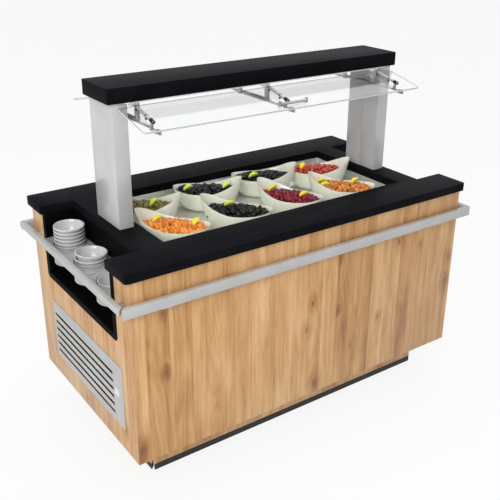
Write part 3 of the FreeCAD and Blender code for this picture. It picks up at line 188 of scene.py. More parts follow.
@dataclass(frozen=True)
class Finish:
    """A surface with two close tones, a fine texture and uneven gloss.

    The tones lie in blotches, and the texture gives both the bump and the gloss.
    """

    name: str
    tone: str
    second: str
    roughness: float = 0.5
    metallic: float = 0.0
    ior: float = 1.5
    blotch_mm: float = 60.0
    grain_mm: float = 1.5
    stretch: tuple[float, float, float] = (1.0, 1.0, 1.0)
    depth: float = 0.15
    spread: float = 0.06
    coat: float = 0.0
    glow: float = 0.0
    specular: float = 0.5

    def place(self, tree):
        """Returns the socket of the coordinates that the patterns follow."""
        return add_node(tree, "ShaderNodeTexCoord").outputs["Object"]

    def colour(self, tree, place):
        """Mixes the two tones in soft blotches.

        Args:
            tree: Node tree of the material.
            place: Coordinates of the pattern.

        Returns:
            Colour socket.
        """
        cloud = noise(tree, place, 1 / (self.blotch_mm * MM), 3.0)
        return ramped(tree, cloud, (0.35, self.tone), (0.68, self.second))

    def grain(self, tree, place):
        """Makes the fine texture, drawn out where the surface is brushed.

        Args:
            tree: Node tree of the material.
            place: Coordinates of the pattern.

        Returns:
            Height socket between 0 and 1.
        """
        return noise(tree, place, 1 / (self.grain_mm * MM), 4.0, self.stretch)

    def tune(self, shader) -> None:
        """Sets what only some finishes have. The plain ones have nothing more."""

    def build(self) -> bpy.types.Material:
        """Makes the material, or finds it if it is there already.

        Returns:
            The material.
        """
        known = bpy.data.materials.get(self.name)
        if known:
            return known
        material = bpy.data.materials.new(self.name)
        material.use_nodes = True
        tree = material.node_tree
        tree.nodes.clear()
        place = self.place(tree)
        height = self.grain(tree, place)
        rougher = max(self.roughness - self.spread, 0.02), min(self.roughness + self.spread, 1.0)
        bump = {"Height": height, "Strength": self.depth, "Distance": self.grain_mm * MM * 0.3}
        shader = add_node(
            tree,
            "ShaderNodeBsdfPrincipled",
            {
                "Base Color": self.colour(tree, place),
                "Metallic": self.metallic,
                "Roughness": ranged(tree, height, (0.3, 0.7), rougher),
                "IOR": self.ior,
                "Normal": add_node(tree, "ShaderNodeBump", bump).outputs["Normal"],
                "Coat Weight": self.coat,
                "Coat Roughness": 0.12,
                "Specular IOR Level": self.specular,
            },
        )
        if self.glow:
            shader.inputs["Emission Color"].default_value = linear(self.tone)
            shader.inputs["Emission Strength"].default_value = self.glow
        self.tune(shader)
        add_node(tree, "ShaderNodeOutputMaterial", {"Surface": shader.outputs["BSDF"]})
        return material


@dataclass(frozen=True)
class KnottyOak(Finish):
    """Vertical oak boards, unrolled round the cabinet, with knots that bend the grain.

    Knots are given as place along the unrolled front, height, half-width and depth of tone, in millimetres.
    """

    board_mm: float = 84.0
    corner_x_mm: float = 767.0
    corner_y_mm: float = 419.0
    widths_scale: float = 3.1
    streak_stretch: tuple[float, float, float] = (38.0, 1.0, 1.7)
    cloud_stretch: tuple[float, float, float] = (16.0, 1.0, 4.5)
    ring_stretch: tuple[float, float, float] = (9.0, 1.0, 0.75)
    pore_stretch: tuple[float, float, float] = (650.0, 1.0, 22.0)
    ring_count: float = 26.0
    middle_tone: str = "#CDA06B"
    deep_tone: str = "#8F5F30"
    seam: str = "#94683A"
    seam_share: float = 0.4
    knot: str = "#7A4B22"
    knots: tuple[tuple[float, float, float, float], ...] = ()

    def place(self, tree):
        """Returns coordinates unrolled from face to face: along the girth, and the height."""
        source = add_node(tree, "ShaderNodeTexCoord")
        spot = add_node(tree, "ShaderNodeSeparateXYZ", {"Vector": source.outputs["Object"]})
        facing = add_node(tree, "ShaderNodeSeparateXYZ", {"Vector": source.outputs["Normal"]})
        x, y = self.corner_x_mm * MM, self.corner_y_mm * MM
        turns = (
            ("Y", -1, "X", 1, 0.0),
            ("X", 1, "Y", 1, x + y),
            ("Y", 1, "X", -1, 2 * x + 2 * y),
            ("X", -1, "Y", -1, 3 * x + 3 * y),
        )
        along = 0.0
        for axis, sign, other, way, start in turns:
            faces = calc(tree, "GREATER_THAN" if sign > 0 else "LESS_THAN", facing.outputs[axis], 0.5 * sign)
            line = calc(tree, "MULTIPLY_ADD", spot.outputs[other], float(way), start)
            along = calc(tree, "MULTIPLY_ADD", faces, line, along)
        unrolled = {"X": along, "Y": 0.0, "Z": spot.outputs["Z"]}
        return add_node(tree, "ShaderNodeCombineXYZ", unrolled).outputs["Vector"]

    def knotted(self, tree, place):
        """Bends the coordinates round every knot, and sums the knots' darkness.

        Args:
            tree: Node tree of the material.
            place: Unrolled coordinates.

        Returns:
            Bent coordinates, darkness of the knots' hearts, and of the rings round them.
        """
        bent, heart, ring = place, 0.0, 0.0
        soft = {"interpolation_type": "SMOOTHSTEP"}
        for along, height, wide, deep in self.knots:
            off = calc(tree, "SUBTRACT", place, (along * MM, 0.0, height * MM), kind="VectorMath")
            shape = (1 / (wide * MM), 1.0, 0.55 / (wide * MM))
            oval = calc(tree, "MULTIPLY", off, shape, kind="VectorMath")
            far = add_node(tree, "ShaderNodeVectorMath", {0: oval}, operation="LENGTH").outputs["Value"]
            halo = ranged(tree, far, (0.4, 5.0), (0.75, 0.0), **soft)
            push = calc(tree, "MULTIPLY", off, (-1.0, 0.0, 0.0), kind="VectorMath")
            scaled = {0: push, "Scale": halo}
            shift = add_node(tree, "ShaderNodeVectorMath", scaled, operation="SCALE").outputs[0]
            bent = calc(tree, "ADD", bent, shift, kind="VectorMath")
            heart = calc(tree, "ADD", ranged(tree, far, (0.35, 0.85), (deep, 0.0), **soft), heart)
            ring = calc(tree, "ADD", ranged(tree, far, (0.8, 3.2), (0.55 * deep, 0.0), **soft), ring)
        return bent, heart, ring

    def boards(self, tree, place):
        """Numbers the boards and finds their joints.

        Args:
            tree: Node tree of the material.
            place: Unrolled coordinates.

        Returns:
            Random value of each board, and 1 on the joints between boards.
        """
        along = add_node(tree, "ShaderNodeSeparateXYZ", {"Vector": place}).outputs["X"]
        line = {"noise_dimensions": "1D"}
        uneven = {"W": along, "Scale": self.widths_scale, "Detail": 0.0}
        widths = add_node(tree, "ShaderNodeTexNoise", uneven, **line).outputs["Fac"]
        warped = calc(tree, "MULTIPLY_ADD", along, 1 / (self.board_mm * MM), widths)
        number = calc(tree, "FLOOR", warped)
        chance = add_node(tree, "ShaderNodeTexWhiteNoise", {"W": number}, **line).outputs["Value"]
        away = calc(tree, "ABSOLUTE", calc(tree, "SUBTRACT", calc(tree, "FRACT", warped), 0.5))
        return chance, ranged(tree, away, (0.489, 0.499))

    def colour(self, tree, place):
        """Lays streaks, growth rings, knots and joints over the boards' own tones."""
        bent, heart, ring = self.knotted(tree, place)
        chance, joint = self.boards(tree, place)
        hop = calc(tree, "MULTIPLY", chance, 7.0)
        jump = add_node(tree, "ShaderNodeCombineXYZ", {"X": 0.0, "Y": hop, "Z": hop}).outputs["Vector"]
        moved = calc(tree, "ADD", bent, jump, kind="VectorMath")
        # Streaks some 25 mm wide and half a metre tall.
        streak = noise(tree, moved, 1.0, 5.0, self.streak_stretch, Roughness=0.62, Distortion=0.3)
        # Broad soft clouds, some 60 mm wide and 200 mm tall, mottle the boards.
        cloud = noise(tree, moved, 1.0, 3.0, self.cloud_stretch)
        # Growth rings are the contour lines of a slow height field, closed into arches by its stretch.
        slow = noise(tree, moved, 1.0, 1.5, self.ring_stretch, Roughness=0.4, Distortion=0.2)
        wave = calc(tree, "PINGPONG", calc(tree, "MULTIPLY", slow, self.ring_count), 0.5)
        line = ranged(tree, wave, (0.0, 0.42), (1.0, 0.0))
        # Pores are thin dashes, a few tenths of a millimetre in real oak and drawn 1.5 mm wide to show.
        pore = noise(tree, moved, 1.0, 2.0, self.pore_stretch)
        tone = calc(tree, "MULTIPLY_ADD", streak, 1.0, -0.44)
        for value, weight in ((cloud, 0.55), (chance, 0.26), (line, 0.08), (pore, 0.24), (ring, 0.5)):
            tone = calc(tree, "MULTIPLY_ADD", value, weight, tone)
        stops = ((0.26, self.tone), (0.5, self.middle_tone), (0.76, self.second), (0.98, self.deep_tone))
        faint = calc(tree, "MULTIPLY", joint, self.seam_share)
        seamed = laid_over(tree, faint, ramped(tree, tone, *stops), self.seam)
        return laid_over(tree, heart, seamed, self.knot)


@dataclass(frozen=True)
class ClearGlass(Finish):
    """Float glass: clear with a trace of green, mirror-smooth but for faint wiping marks."""

    def tune(self, shader) -> None:
        """Lets light through."""
        shader.inputs["Transmission Weight"].default_value = 1.0


@dataclass(frozen=True)
class Morsels(Finish):
    """Pieces of food, each with a shade of its own from the mesh, moist on top."""

    third: str = "#000000"

    def colour(self, tree, place):
        """Takes each piece's tone from its own random shade and mottles it.

        Args:
            tree: Node tree of the material.
            place: Coordinates of the mottling.

        Returns:
            Colour socket.
        """
        own = add_node(tree, "ShaderNodeAttribute", attribute_name="shade").outputs["Fac"]
        cloud = noise(tree, place, 1 / (self.blotch_mm * MM), 2.0)
        both = calc(tree, "MULTIPLY_ADD", cloud, 0.55, own)
        return ramped(tree, both, (0.25, self.third), (0.6, self.tone), (1.0, self.second))


# Knotty oak boards under a satin lacquer: honey tones, soft vertical streaks and a few dark knots.
OAK = KnottyOak(
    name="lacquered_knotty_oak",
    tone="#DCB789",
    second="#B5834C",
    roughness=0.42,
    grain_mm=2.0,
    stretch=(2.2, 1.0, 0.12),
    depth=0.12,
    coat=0.15,
    knots=(
        (432, 714, 13, 0.75),
        (556, 673, 8, 0.6),
        (-9, 563, 12, 0.8),
        (121, 493, 8, 0.7),
        (340, 397, 9, 0.5),
        (-35, 458, 13, 0.55),
        (13, 202, 14, 0.7),
        (732, 457, 12, 0.6),
        (749, 568, 10, 0.6),
        (116, 721, 8, 0.6),
        (198, 309, 6, 0.5),
        (-750, 211, 16, 0.8),
        (-646, 492, 9, 0.8),
        (-651, 719, 8, 0.7),
        (3574, 470, 6, 0.8),
        (3543, 190, 9, 0.7),
        (3320, 330, 11, 0.6),
        (3890, 250, 12, 0.6),
        (1000, 420, 12, 0.7),
        (1420, 300, 10, 0.6),
        (1850, 640, 11, 0.7),
        (2150, 330, 14, 0.7),
        (2480, 520, 9, 0.7),
        (2760, 250, 12, 0.7),
        (2980, 610, 10, 0.6),
    ),
)
# High-pressure laminate in satin black: a tight pebble that spreads the highlights.
BLACK_LAMINATE = Finish(
    "satin_black_laminate", "#0F1013", "#15161A", 0.5, grain_mm=1.2, depth=0.10, blotch_mm=160, specular=0.015
)
# Thermoformed ABS in matt black: deeper pebble than the laminate and duller.
BLACK_ABS = Finish("moulded_black_abs", "#08080A", "#0D0D0F", 0.6, grain_mm=1.6, depth=0.22, specular=0.02)
# EPDM strip, dull black with a dusty cast at the floor.
BLACK_RUBBER = Finish("epdm_rubber_strip", "#1D1E20", "#2B2C2D", 0.75, grain_mm=1.0, depth=0.2, blotch_mm=40)
# Light grey powder coat on steel: faint orange peel, soft sheen.
GREY_POWDER = Finish(
    "light_grey_powder_coat", "#B0B0AF", "#B9B9B8", 0.38, grain_mm=1.8, depth=0.10, blotch_mm=90
)
# Brackets under the canopy, a pale powder coat that hardly shows against the light.
PALE_POWDER = Finish("pale_powder_coat", "#DADAD9", "#E2E2E1", 0.4, grain_mm=1.5, depth=0.08, blotch_mm=40)
# Satin enamel on the posts' folded covers, smoother than the rails and a little glossy.
POST_ENAMEL = Finish(
    "satin_grey_enamel", "#BDBDBE", "#C6C6C6", 0.24, grain_mm=3.0, depth=0.04, blotch_mm=120, coat=0.3
)
# Stainless steel, brushed along the bar: fine long scratches.
STAINLESS = Finish(
    "brushed_stainless_steel",
    "#D2D2CF",
    "#DEDEDB",
    0.36,
    0.8,
    grain_mm=0.9,
    stretch=(0.03, 1.0, 1.0),
    depth=0.04,
    spread=0.05,
    blotch_mm=70,
)
# Stainless steel, bead-blasted: bright and even, nearly without reflections.
BLASTED_STEEL = Finish(
    "bead_blasted_steel", "#ACACAB", "#B6B6B5", 0.45, 0.35, grain_mm=0.8, depth=0.12, blotch_mm=50
)
# Zinc-plated steel, cool grey with blotchy passivation.
ZINC = Finish(
    "zinc_plated_steel", "#A7ACB0", "#8E9296", 0.4, 1.0, grain_mm=1.4, depth=0.1, spread=0.12, blotch_mm=14
)
# Black powder coat on frame tubes, with a light texture.
BLACK_POWDER = Finish("black_powder_coat", "#1A1A1C", "#232325", 0.5, grain_mm=1.5, depth=0.2)
# Anodised aluminium tube, satin and pale.
ANODISED = Finish(
    "satin_anodised_aluminium",
    "#A6A8AA",
    "#B4B6B8",
    0.34,
    0.4,
    grain_mm=0.7,
    stretch=(1.0, 0.05, 1.0),
    depth=0.06,
)
# Satin black enamel on small turned parts.
BLACK_ENAMEL = Finish(
    "satin_black_enamel", "#0C0C0D", "#131314", 0.35, grain_mm=1.0, depth=0.08, blotch_mm=15, specular=0.2
)
# Ground and polished steel rods.
POLISHED_STEEL = Finish(
    "polished_steel_rod", "#9A9C9E", "#A8AAAC", 0.24, 0.7, grain_mm=0.6, depth=0.03, spread=0.04
)
# Grey tread rubber with scuffs.
TREAD_RUBBER = Finish("grey_tread_rubber", "#4A4B4D", "#5D5E60", 0.8, grain_mm=1.2, depth=0.25, blotch_mm=12)
# Cut polyurethane foam: open cells, cream.
FOAM = Finish("cut_polyurethane_foam", "#DCCFA0", "#CDBE8C", 0.9, grain_mm=1.6, depth=0.5, blotch_mm=30)
# Mill-finish aluminium, with rolling marks.
MILL_ALUMINIUM = Finish(
    "mill_finish_aluminium",
    "#B4B6B8",
    "#C2C4C6",
    0.36,
    1.0,
    grain_mm=1.0,
    stretch=(0.06, 1.0, 1.0),
    depth=0.08,
)
# Bare copper tube, browned in patches.
COPPER = Finish("dulled_copper", "#B8734A", "#8F5635", 0.38, 1.0, grain_mm=1.0, depth=0.08, blotch_mm=9)
# Cast and machined brass.
BRASS = Finish("cast_brass", "#B9975A", "#A4834A", 0.36, 1.0, grain_mm=1.2, depth=0.12, blotch_mm=12)
# Dipped vinyl grip, glossy red.
RED_VINYL = Finish("dipped_red_vinyl", "#9C1A17", "#87120F", 0.3, grain_mm=1.2, depth=0.05, blotch_mm=10)
# Nylon rocker, clean white with a moulded sheen.
WHITE_NYLON = Finish("white_nylon", "#E6E6E3", "#DEDEDB", 0.3, grain_mm=0.8, depth=0.05, blotch_mm=10)
# Glass-filled nylon of the fan, matt black.
FAN_NYLON = Finish("glass_filled_nylon", "#1C1C1D", "#262627", 0.6, grain_mm=1.0, depth=0.15)
# Sealed birch plywood.
PLYWOOD = Finish(
    "sealed_birch_plywood", "#B08A5C", "#C09B6C", 0.55, grain_mm=3.0, stretch=(0.1, 1.0, 1.0), depth=0.15
)
# Opal acrylic over the lamps, evenly lit from inside.
OPAL_ACRYLIC = Finish("opal_acrylic", "#F2F1EC", "#ECEBE6", 0.35, grain_mm=2.0, depth=0.02, glow=0.5)
# Clear float glass, a trace of green.
GLASS = ClearGlass(
    "clear_float_glass", "#FDFEFE", "#FAFDFC", 0.01, grain_mm=40.0, depth=0.01, spread=0.01, specular=0.3
)
# Polished edge of the glass, where the green gathers.
GLASS_EDGE = Finish("polished_glass_edge", "#D4D9D7", "#DDE1DF", 0.2, grain_mm=2.0, depth=0.03, blotch_mm=30)
# Arris along the glass edge, painted opaque dark grey: a painted shade standing in for the fine grey line
# that refraction draws along the edge of clear glass.
GLASS_ARRIS = Finish("ground_glass_arris", "#5E6362", "#6B706F", 0.4, grain_mm=1.0, depth=0.05, blotch_mm=30)
# Melamine dish in cream, pressed and glossy.
CREAM_MELAMINE = Finish(
    "pressed_cream_melamine", "#F1F3E0", "#F7F8EA", 0.22, grain_mm=4.0, depth=0.03, blotch_mm=80, coat=0.3
)
# Glazed porcelain in white, glossy with a soft waviness.
PORCELAIN = Finish(
    "glazed_white_porcelain", "#C6C6C5", "#CFCFCE", 0.16, grain_mm=7.0, depth=0.03, blotch_mm=60, coat=0.4
)
# Lemon: waxy pitted rind, pale pith and moist flesh.
LEMON_RIND = Finish("waxy_lemon_rind", "#FFEE00", "#F6E200", 0.42, grain_mm=1.6, depth=0.3, blotch_mm=12)
LIME_RIND = Finish("waxy_lime_lemon_rind", "#ECF800", "#DBEE00", 0.42, grain_mm=1.6, depth=0.3, blotch_mm=12)
PITH = Finish("dry_lemon_pith", "#F4F0C4", "#EFE9B0", 0.6, grain_mm=1.2, depth=0.15, blotch_mm=8)
LEMON_FLESH = Finish(
    "moist_lemon_flesh", "#F3E646", "#F8F07A", 0.2, grain_mm=2.4, depth=0.4, blotch_mm=4, coat=0.4
)


class Food(Enum):
    """What fills a dish: finish, length and width of a piece in millimetres."""

    ROAST_CARROT = (
        Morsels("glazed_roast_carrot", "#EE8F2A", "#FFB24C", 0.3, blotch_mm=6, third="#A8480C"),
        18.0,
        17.0,
    )
    PRUNE = (
        Morsels("moist_black_prune", "#0D0C0B", "#1B1917", 0.35, blotch_mm=6, third="#040404", specular=0.25),
        25.0,
        18.0,
    )
    BEETROOT = (
        Morsels("pickled_beetroot", "#7A0E26", "#A92543", 0.3, blotch_mm=6, third="#30030D", specular=0.35),
        20.0,
        17.0,
    )
    CHICKPEA = (
        Morsels("spiced_chickpea", "#CC7A2A", "#ECA94F", 0.38, blotch_mm=5, third="#7A3A0C"),
        19.0,
        17.0,
    )
    GREEN_OLIVE = (
        Morsels("green_olive", "#66622A", "#8B883F", 0.3, blotch_mm=7, third="#2A260F", specular=0.35),
        22.0,
        17.0,
    )
    BLACK_OLIVE = (
        Morsels("black_olive", "#090908", "#141312", 0.3, blotch_mm=7, third="#020202", specular=0.25),
        25.0,
        18.0,
    )
    RED_PEPPER = (
        Morsels("diced_red_pepper", "#B52C1D", "#DE5F36", 0.26, blotch_mm=8, third="#5E0D0A"),
        23.0,
        18.0,
    )

    @property
    def finish(self) -> Morsels:
        """Finish of the pieces."""
        return self.value[0]


NODE_FINISHES: dict[str, Finish] = {
    "chassis_frame": BLACK_POWDER,
    "base_deck": PLYWOOD,
    "cabinet_frame": BLACK_POWDER,
    "plinth_strips": BLACK_RUBBER,
    "niche_liners": BLACK_ABS,
    "rail_brackets": GREY_POWDER,
    "well_insulation": FOAM,
    "cold_plate": MILL_ALUMINIUM,
    "refrigerant_lines": COPPER,
    "drain_pipe": BRASS,
    "drain_tap": RED_VINYL,
    "main_switch": WHITE_NYLON,
    "switch_rocker": WHITE_NYLON,
    "unit_tray": ZINC,
    "compressor": BLACK_ENAMEL,
    "condenser": MILL_ALUMINIUM,
    "fan_motor": BLACK_ENAMEL,
    "condenser_fan": FAN_NYLON,
    "power_inlet": BLACK_ABS,
    "post_cores": BLACK_POWDER,
    "canopy_tray": GREY_POWDER,
    "led_strip": OPAL_ACRYLIC,
    "guard_brackets": PALE_POWDER,
    "front_stay_cylinders": ANODISED,
    "rear_stay_cylinders": ANODISED,
    "front_stay_rods": POLISHED_STEEL,
    "rear_stay_rods": POLISHED_STEEL,
}


# ---------------------------------------------------------------- modelling by hand


def nothing_selected() -> None:
    """Leaves edit mode and deselects every object."""
    if bpy.context.object and bpy.context.object.mode != "OBJECT":
        bpy.ops.object.mode_set(mode="OBJECT")
    bpy.ops.object.select_all(action="DESELECT")


def pick(piece: bpy.types.Object) -> None:
    """Selects one object and makes it the active one."""
    nothing_selected()
    piece.select_set(True)
    bpy.context.view_layer.objects.active = piece


def select_faces(piece: bpy.types.Object, wanted: Callable[[bpy.types.MeshPolygon], bool]) -> None:
    """Selects faces by their place or normal, and enters edit mode in face mode.

    Args:
        piece: Mesh object.
        wanted: Test of a face.
    """
    pick(piece)
    for part in (piece.data.vertices, piece.data.edges, piece.data.polygons):
        part.foreach_set("select", [False] * len(part))
    for face in piece.data.polygons:
        face.select = wanted(face)
    bpy.context.tool_settings.mesh_select_mode = (False, False, True)
    bpy.ops.object.mode_set(mode="EDIT")


def whole_mesh() -> None:
    """Enters edit mode with everything selected."""
    bpy.ops.object.mode_set(mode="EDIT")
    bpy.context.tool_settings.mesh_select_mode = (True, False, False)
    bpy.ops.mesh.select_all(action="SELECT")


def set_in_mesh() -> None:
    """Moves the active object's place, turn and scale into its mesh."""
    bpy.ops.object.transform_apply(location=True, rotation=True, scale=True)


def modified(piece: bpy.types.Object, kind: str, **settings) -> None:
    """Adds a modifier, sets it and applies it.

    Args:
        piece: Mesh object.
        kind: Blender's name of the modifier type.
        **settings: Properties of the modifier.
    """
    pick(piece)
    modifier = piece.modifiers.new(kind.lower(), kind)
    for name, value in settings.items():
        setattr(modifier, name, value)
    bpy.ops.object.modifier_apply(modifier=modifier.name)


def bevelled(piece: bpy.types.Object, width: float, segments: int = 2, angle: float = 60.0) -> None:
    """Bevels the sharp edges of a piece.

    Args:
        piece: Mesh object.
        width: Width of the bevel in metres.
        segments: Faces across the bevel.
        angle: Smallest angle in degrees of an edge that counts as sharp.
    """
    limit = math.radians(angle)
    modified(piece, "BEVEL", width=width, segments=segments, limit_method="ANGLE", angle_limit=limit)


def tidy_mesh(piece: bpy.types.Object, smooth_angle: float = 40.0) -> None:
    """Merges doubles, has the faces' outward side worked out and smooths across shallow edges.

    Args:
        piece: Mesh object.
        smooth_angle: Largest angle in degrees that is shaded smooth.
    """
    pick(piece)
    whole_mesh()
    bpy.ops.mesh.remove_doubles(threshold=MERGE)
    bpy.ops.mesh.normals_make_consistent(inside=False)
    bpy.ops.object.mode_set(mode="OBJECT")
    bpy.ops.object.shade_smooth_by_angle(angle=math.radians(smooth_angle))


def dress(piece: bpy.types.Object, *finishes: Finish) -> bpy.types.Object:
    """Gives a piece its finishes, in the order of its material slots."""
    piece.data.materials.clear()
    for finish in finishes:
        piece.data.materials.append(finish.build())
    return piece


def settle(
    piece: bpy.types.Object,
    name: str,
    body: str,
    replaced: Sequence[str] = (),
    turn: Matrix | None = None,
) -> bpy.types.Object:
    """Names a finished piece, puts its place into its mesh and lets it ride.

    Args:
        piece: Finished mesh object.
        name: Name of the piece.
        body: CAD body that carries it.
        replaced: CAD nodes that it stands for.
        turn: Place to move the mesh to.

    Returns:
        The piece.
    """
    pick(piece)
    set_in_mesh()
    if turn is not None:
        piece.data.transform(turn)
    piece.name = piece.data.name = name
    if replaced:
        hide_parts(*replaced)
    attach(piece, body)
    LOG.info("%s: %d faces on %s", name, len(piece.data.polygons), body)
    return piece


def twin(piece: bpy.types.Object) -> bpy.types.Object:
    """Copies an object with a mesh of its own."""
    other = piece.copy()
    other.data = piece.data.copy()
    bpy.context.scene.collection.objects.link(other)
    return other


def joined(pieces: Sequence[bpy.types.Object]) -> bpy.types.Object:
    """Joins objects into the first one."""
    nothing_selected()
    for piece in pieces:
        piece.select_set(True)
    bpy.context.view_layer.objects.active = pieces[0]
    bpy.ops.object.join()
    return pieces[0]


def edged(node: str, width_mm: float, finish: Finish, body: str = "cabinet") -> bpy.types.Object:
    """Rounds the edges of a copy of a CAD node, which then stands for it.

    Args:
        node: Name of the CAD node.
        width_mm: Width of the rounding.
        finish: Finish of the copy.
        body: CAD body of the node.

    Returns:
        The copy.
    """
    piece = twin(frame["nodes"][node])
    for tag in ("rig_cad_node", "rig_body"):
        del piece[tag]
    piece.parent = None
    pick(piece)
    whole_mesh()
    bpy.ops.mesh.remove_doubles(threshold=CAD_MERGE)
    bpy.ops.mesh.dissolve_limited(angle_limit=math.radians(0.5), use_dissolve_boundaries=False)
    bpy.ops.object.mode_set(mode="OBJECT")
    bevelled(piece, width_mm * MM, 2, 40)
    pick(piece)
    bpy.ops.object.shade_smooth_by_angle(angle=math.radians(35))
    dress(piece, finish)
    return settle(piece, f"{node}_edged", body, [node])


class Tube:
    """A round tube made by extruding and spinning one ring."""

    end_bevel = 0.6 * MM

    def __init__(self, centre: Vector, way: Vector, radius: float, sides: int = 20) -> None:
        """Starts with a filled ring.

        Args:
            centre: Middle of the first end.
            way: Direction in which the tube starts.
            radius: Outer radius in metres.
            sides: Faces round the tube.
        """
        nothing_selected()
        turn = way.to_track_quat("Z", "Y").to_euler()
        bpy.ops.mesh.primitive_circle_add(
            vertices=sides, radius=radius, fill_type="NGON", location=centre, rotation=turn
        )
        self.piece = bpy.context.object
        set_in_mesh()
        whole_mesh()

    def run(self, path: Vector) -> "Tube":
        """Extrudes the end straight on."""
        bpy.ops.mesh.extrude_region_move(TRANSFORM_OT_translate={"value": path})
        return self

    def bend(self, centre: Vector, axis: Vector, angle: float, steps: int = 8) -> "Tube":
        """Spins the end round a corner.

        Args:
            centre: Middle of the bend.
            axis: Axis of the bend.
            angle: Angle in degrees.
            steps: Rings in the bend.

        Returns:
            The tube.
        """
        bpy.ops.mesh.spin(
            steps=steps, angle=math.radians(angle), center=centre, axis=axis, use_auto_merge=False
        )
        return self

    def done(self) -> bpy.types.Object:
        """Bevels the sharp edges, which are those of the ends, and returns the tube's object."""
        bpy.ops.object.mode_set(mode="OBJECT")
        bevelled(self.piece, self.end_bevel)
        tidy_mesh(self.piece)
        return self.piece


def turned_pin(centre: Vector, axis: str, radius: float, length: float, lip: float, sides: int = 24):
    """Models a short turned pin with chamfered ends.

    Args:
        centre: Middle of the pin.
        axis: "X", "Y" or "Z".
        radius: Radius in metres.
        length: Length in metres.
        lip: Width of the chamfer.
        sides: Faces round the pin.

    Returns:
        The pin's object.
    """
    nothing_selected()
    turns = {"X": (0.0, math.pi / 2, 0.0), "Y": (math.pi / 2, 0.0, 0.0), "Z": (0.0, 0.0, 0.0)}
    bpy.ops.mesh.primitive_cylinder_add(
        vertices=sides, radius=radius, depth=length, location=centre, rotation=turns[axis]
    )
    pin = bpy.context.object
    set_in_mesh()
    bevelled(pin, lip)
    tidy_mesh(pin)
    return pin


# ---------------------------------------------------------------- sub-assemblies


@dataclass
class Cabinet:
    """Wooden cladding, worktop, rails and grille, whose edges are eased."""

    eased: dict[str, tuple[float, Finish]] = field(
        default_factory=lambda: {
            "long_panels": (0.8, OAK),
            "left_end_panel": (0.8, OAK),
            "right_end_panel": (0.8, OAK),
            "plinth_boards": (0.8, OAK),
            "worktop": (1.2, BLACK_LAMINATE),
            "tray_rails": (1.2, GREY_POWDER),
            "bowl_shelves": (0.5, BLASTED_STEEL),
            "well_tank": (0.5, STAINLESS),
            "louvre_grille": (0.4, GREY_POWDER),
            "canopy_shell": (1.0, BLACK_LAMINATE),
            "post_covers": (0.8, POST_ENAMEL),
        }
    )

    def build(self) -> None:
        """Eases the edges of the big shown nodes."""
        for node, (width, finish) in self.eased.items():
            edged(node, width, finish)

    def dress(self) -> None:
        """Gives every carried-over node its finish."""
        for node, finish in NODE_FINISHES.items():
            dress(frame["nodes"][node], finish)


@dataclass
class Undercarriage:
    """Castors under the chassis: forks and rubber wheels."""

    tags: tuple[str, ...] = ("fl", "fr", "rl", "rr")

    def dress(self) -> None:
        """Gives forks and wheels their finishes."""
        for tag in self.tags:
            dress(frame["nodes"][f"castor_fork_{tag}"], ZINC)
            dress(frame["nodes"][f"castor_wheel_{tag}"], TREAD_RUBBER)


@dataclass
class BowlStacks:
    """Small porcelain bowls stacked in the cups of the left shelf."""

    pitch: float = 14.2 * MM
    floor: float = 698.3 * MM
    x: float = -711 * MM
    row_pitch: float = 190 * MM
    stacks: tuple[tuple[int, int], ...] = ((1, 8), (0, 5), (-1, 3))
    tilted_row: int = 0
    tilt: float = 3.5
    tilt_rise: float = 3.4 * MM
    ring_sides: int = 48
    foot: tuple[float, float] = (33.0, 1.4)
    outside: Profile = ((36.0, 0.0), (43.5, 0.0), (44.6, 1.6), (51.6, 33.5), (52.6, 37.0))
    lip: Profile = ((57.4, 37.8), (58.5, 39.2), (58.5, 43.6), (57.2, 45.0), (54.9, 45.0))
    inside: Profile = ((53.6, 43.4), (50.2, 22.0), (44.0, 8.4), (34.0, 5.0), (12.0, 4.4))

    def bowl(self) -> bpy.types.Object:
        """Draws one bowl up ring by ring: foot, flared wall, rolled lip and hollow.

        Returns:
            The bowl, standing on the origin.
        """
        nothing_selected()
        radius, height = self.foot
        bpy.ops.mesh.primitive_circle_add(
            vertices=self.ring_sides, radius=radius * MM, fill_type="NGON", location=(0.0, 0.0, height * MM)
        )
        bowl = bpy.context.object
        set_in_mesh()
        whole_mesh()
        for wide, high in self.outside + self.lip + self.inside:
            rise, grow = (high - height) * MM, wide / radius
            bpy.ops.mesh.extrude_region_move(TRANSFORM_OT_translate={"value": (0.0, 0.0, rise)})
            bpy.ops.transform.resize(value=(grow, grow, 1.0), center_override=(0.0, 0.0, high * MM))
            radius, height = wide, high
        bpy.ops.object.mode_set(mode="OBJECT")
        tidy_mesh(bowl, 38)
        return bowl

    def build(self) -> None:
        """Stacks the bowls, the top one of the middle stack a little askew."""
        pattern = self.bowl()
        for row, count in self.stacks:
            for layer in range(count):
                bowl = twin(pattern)
                place = Matrix.Translation((self.x, row * self.row_pitch, self.floor + layer * self.pitch))
                if row == self.tilted_row and layer == count - 1:
                    askew = Matrix.Rotation(math.radians(self.tilt), 4, "Y")
                    place = place @ Matrix.Translation((0.0, 0.0, self.tilt_rise)) @ askew
                dress(bowl, PORCELAIN)
                name = f"side_bowl_{row + 2}_{layer + 1}"
                settle(bowl, name, "side_bowls", ["side_bowls"], place)
        bpy.data.objects.remove(pattern)


class Side(Enum):
    """Side of the bar: name of its guard, and turn about the upright axis in degrees."""

    FRONT = ("front", 0.0)
    REAR = ("rear", 180.0)


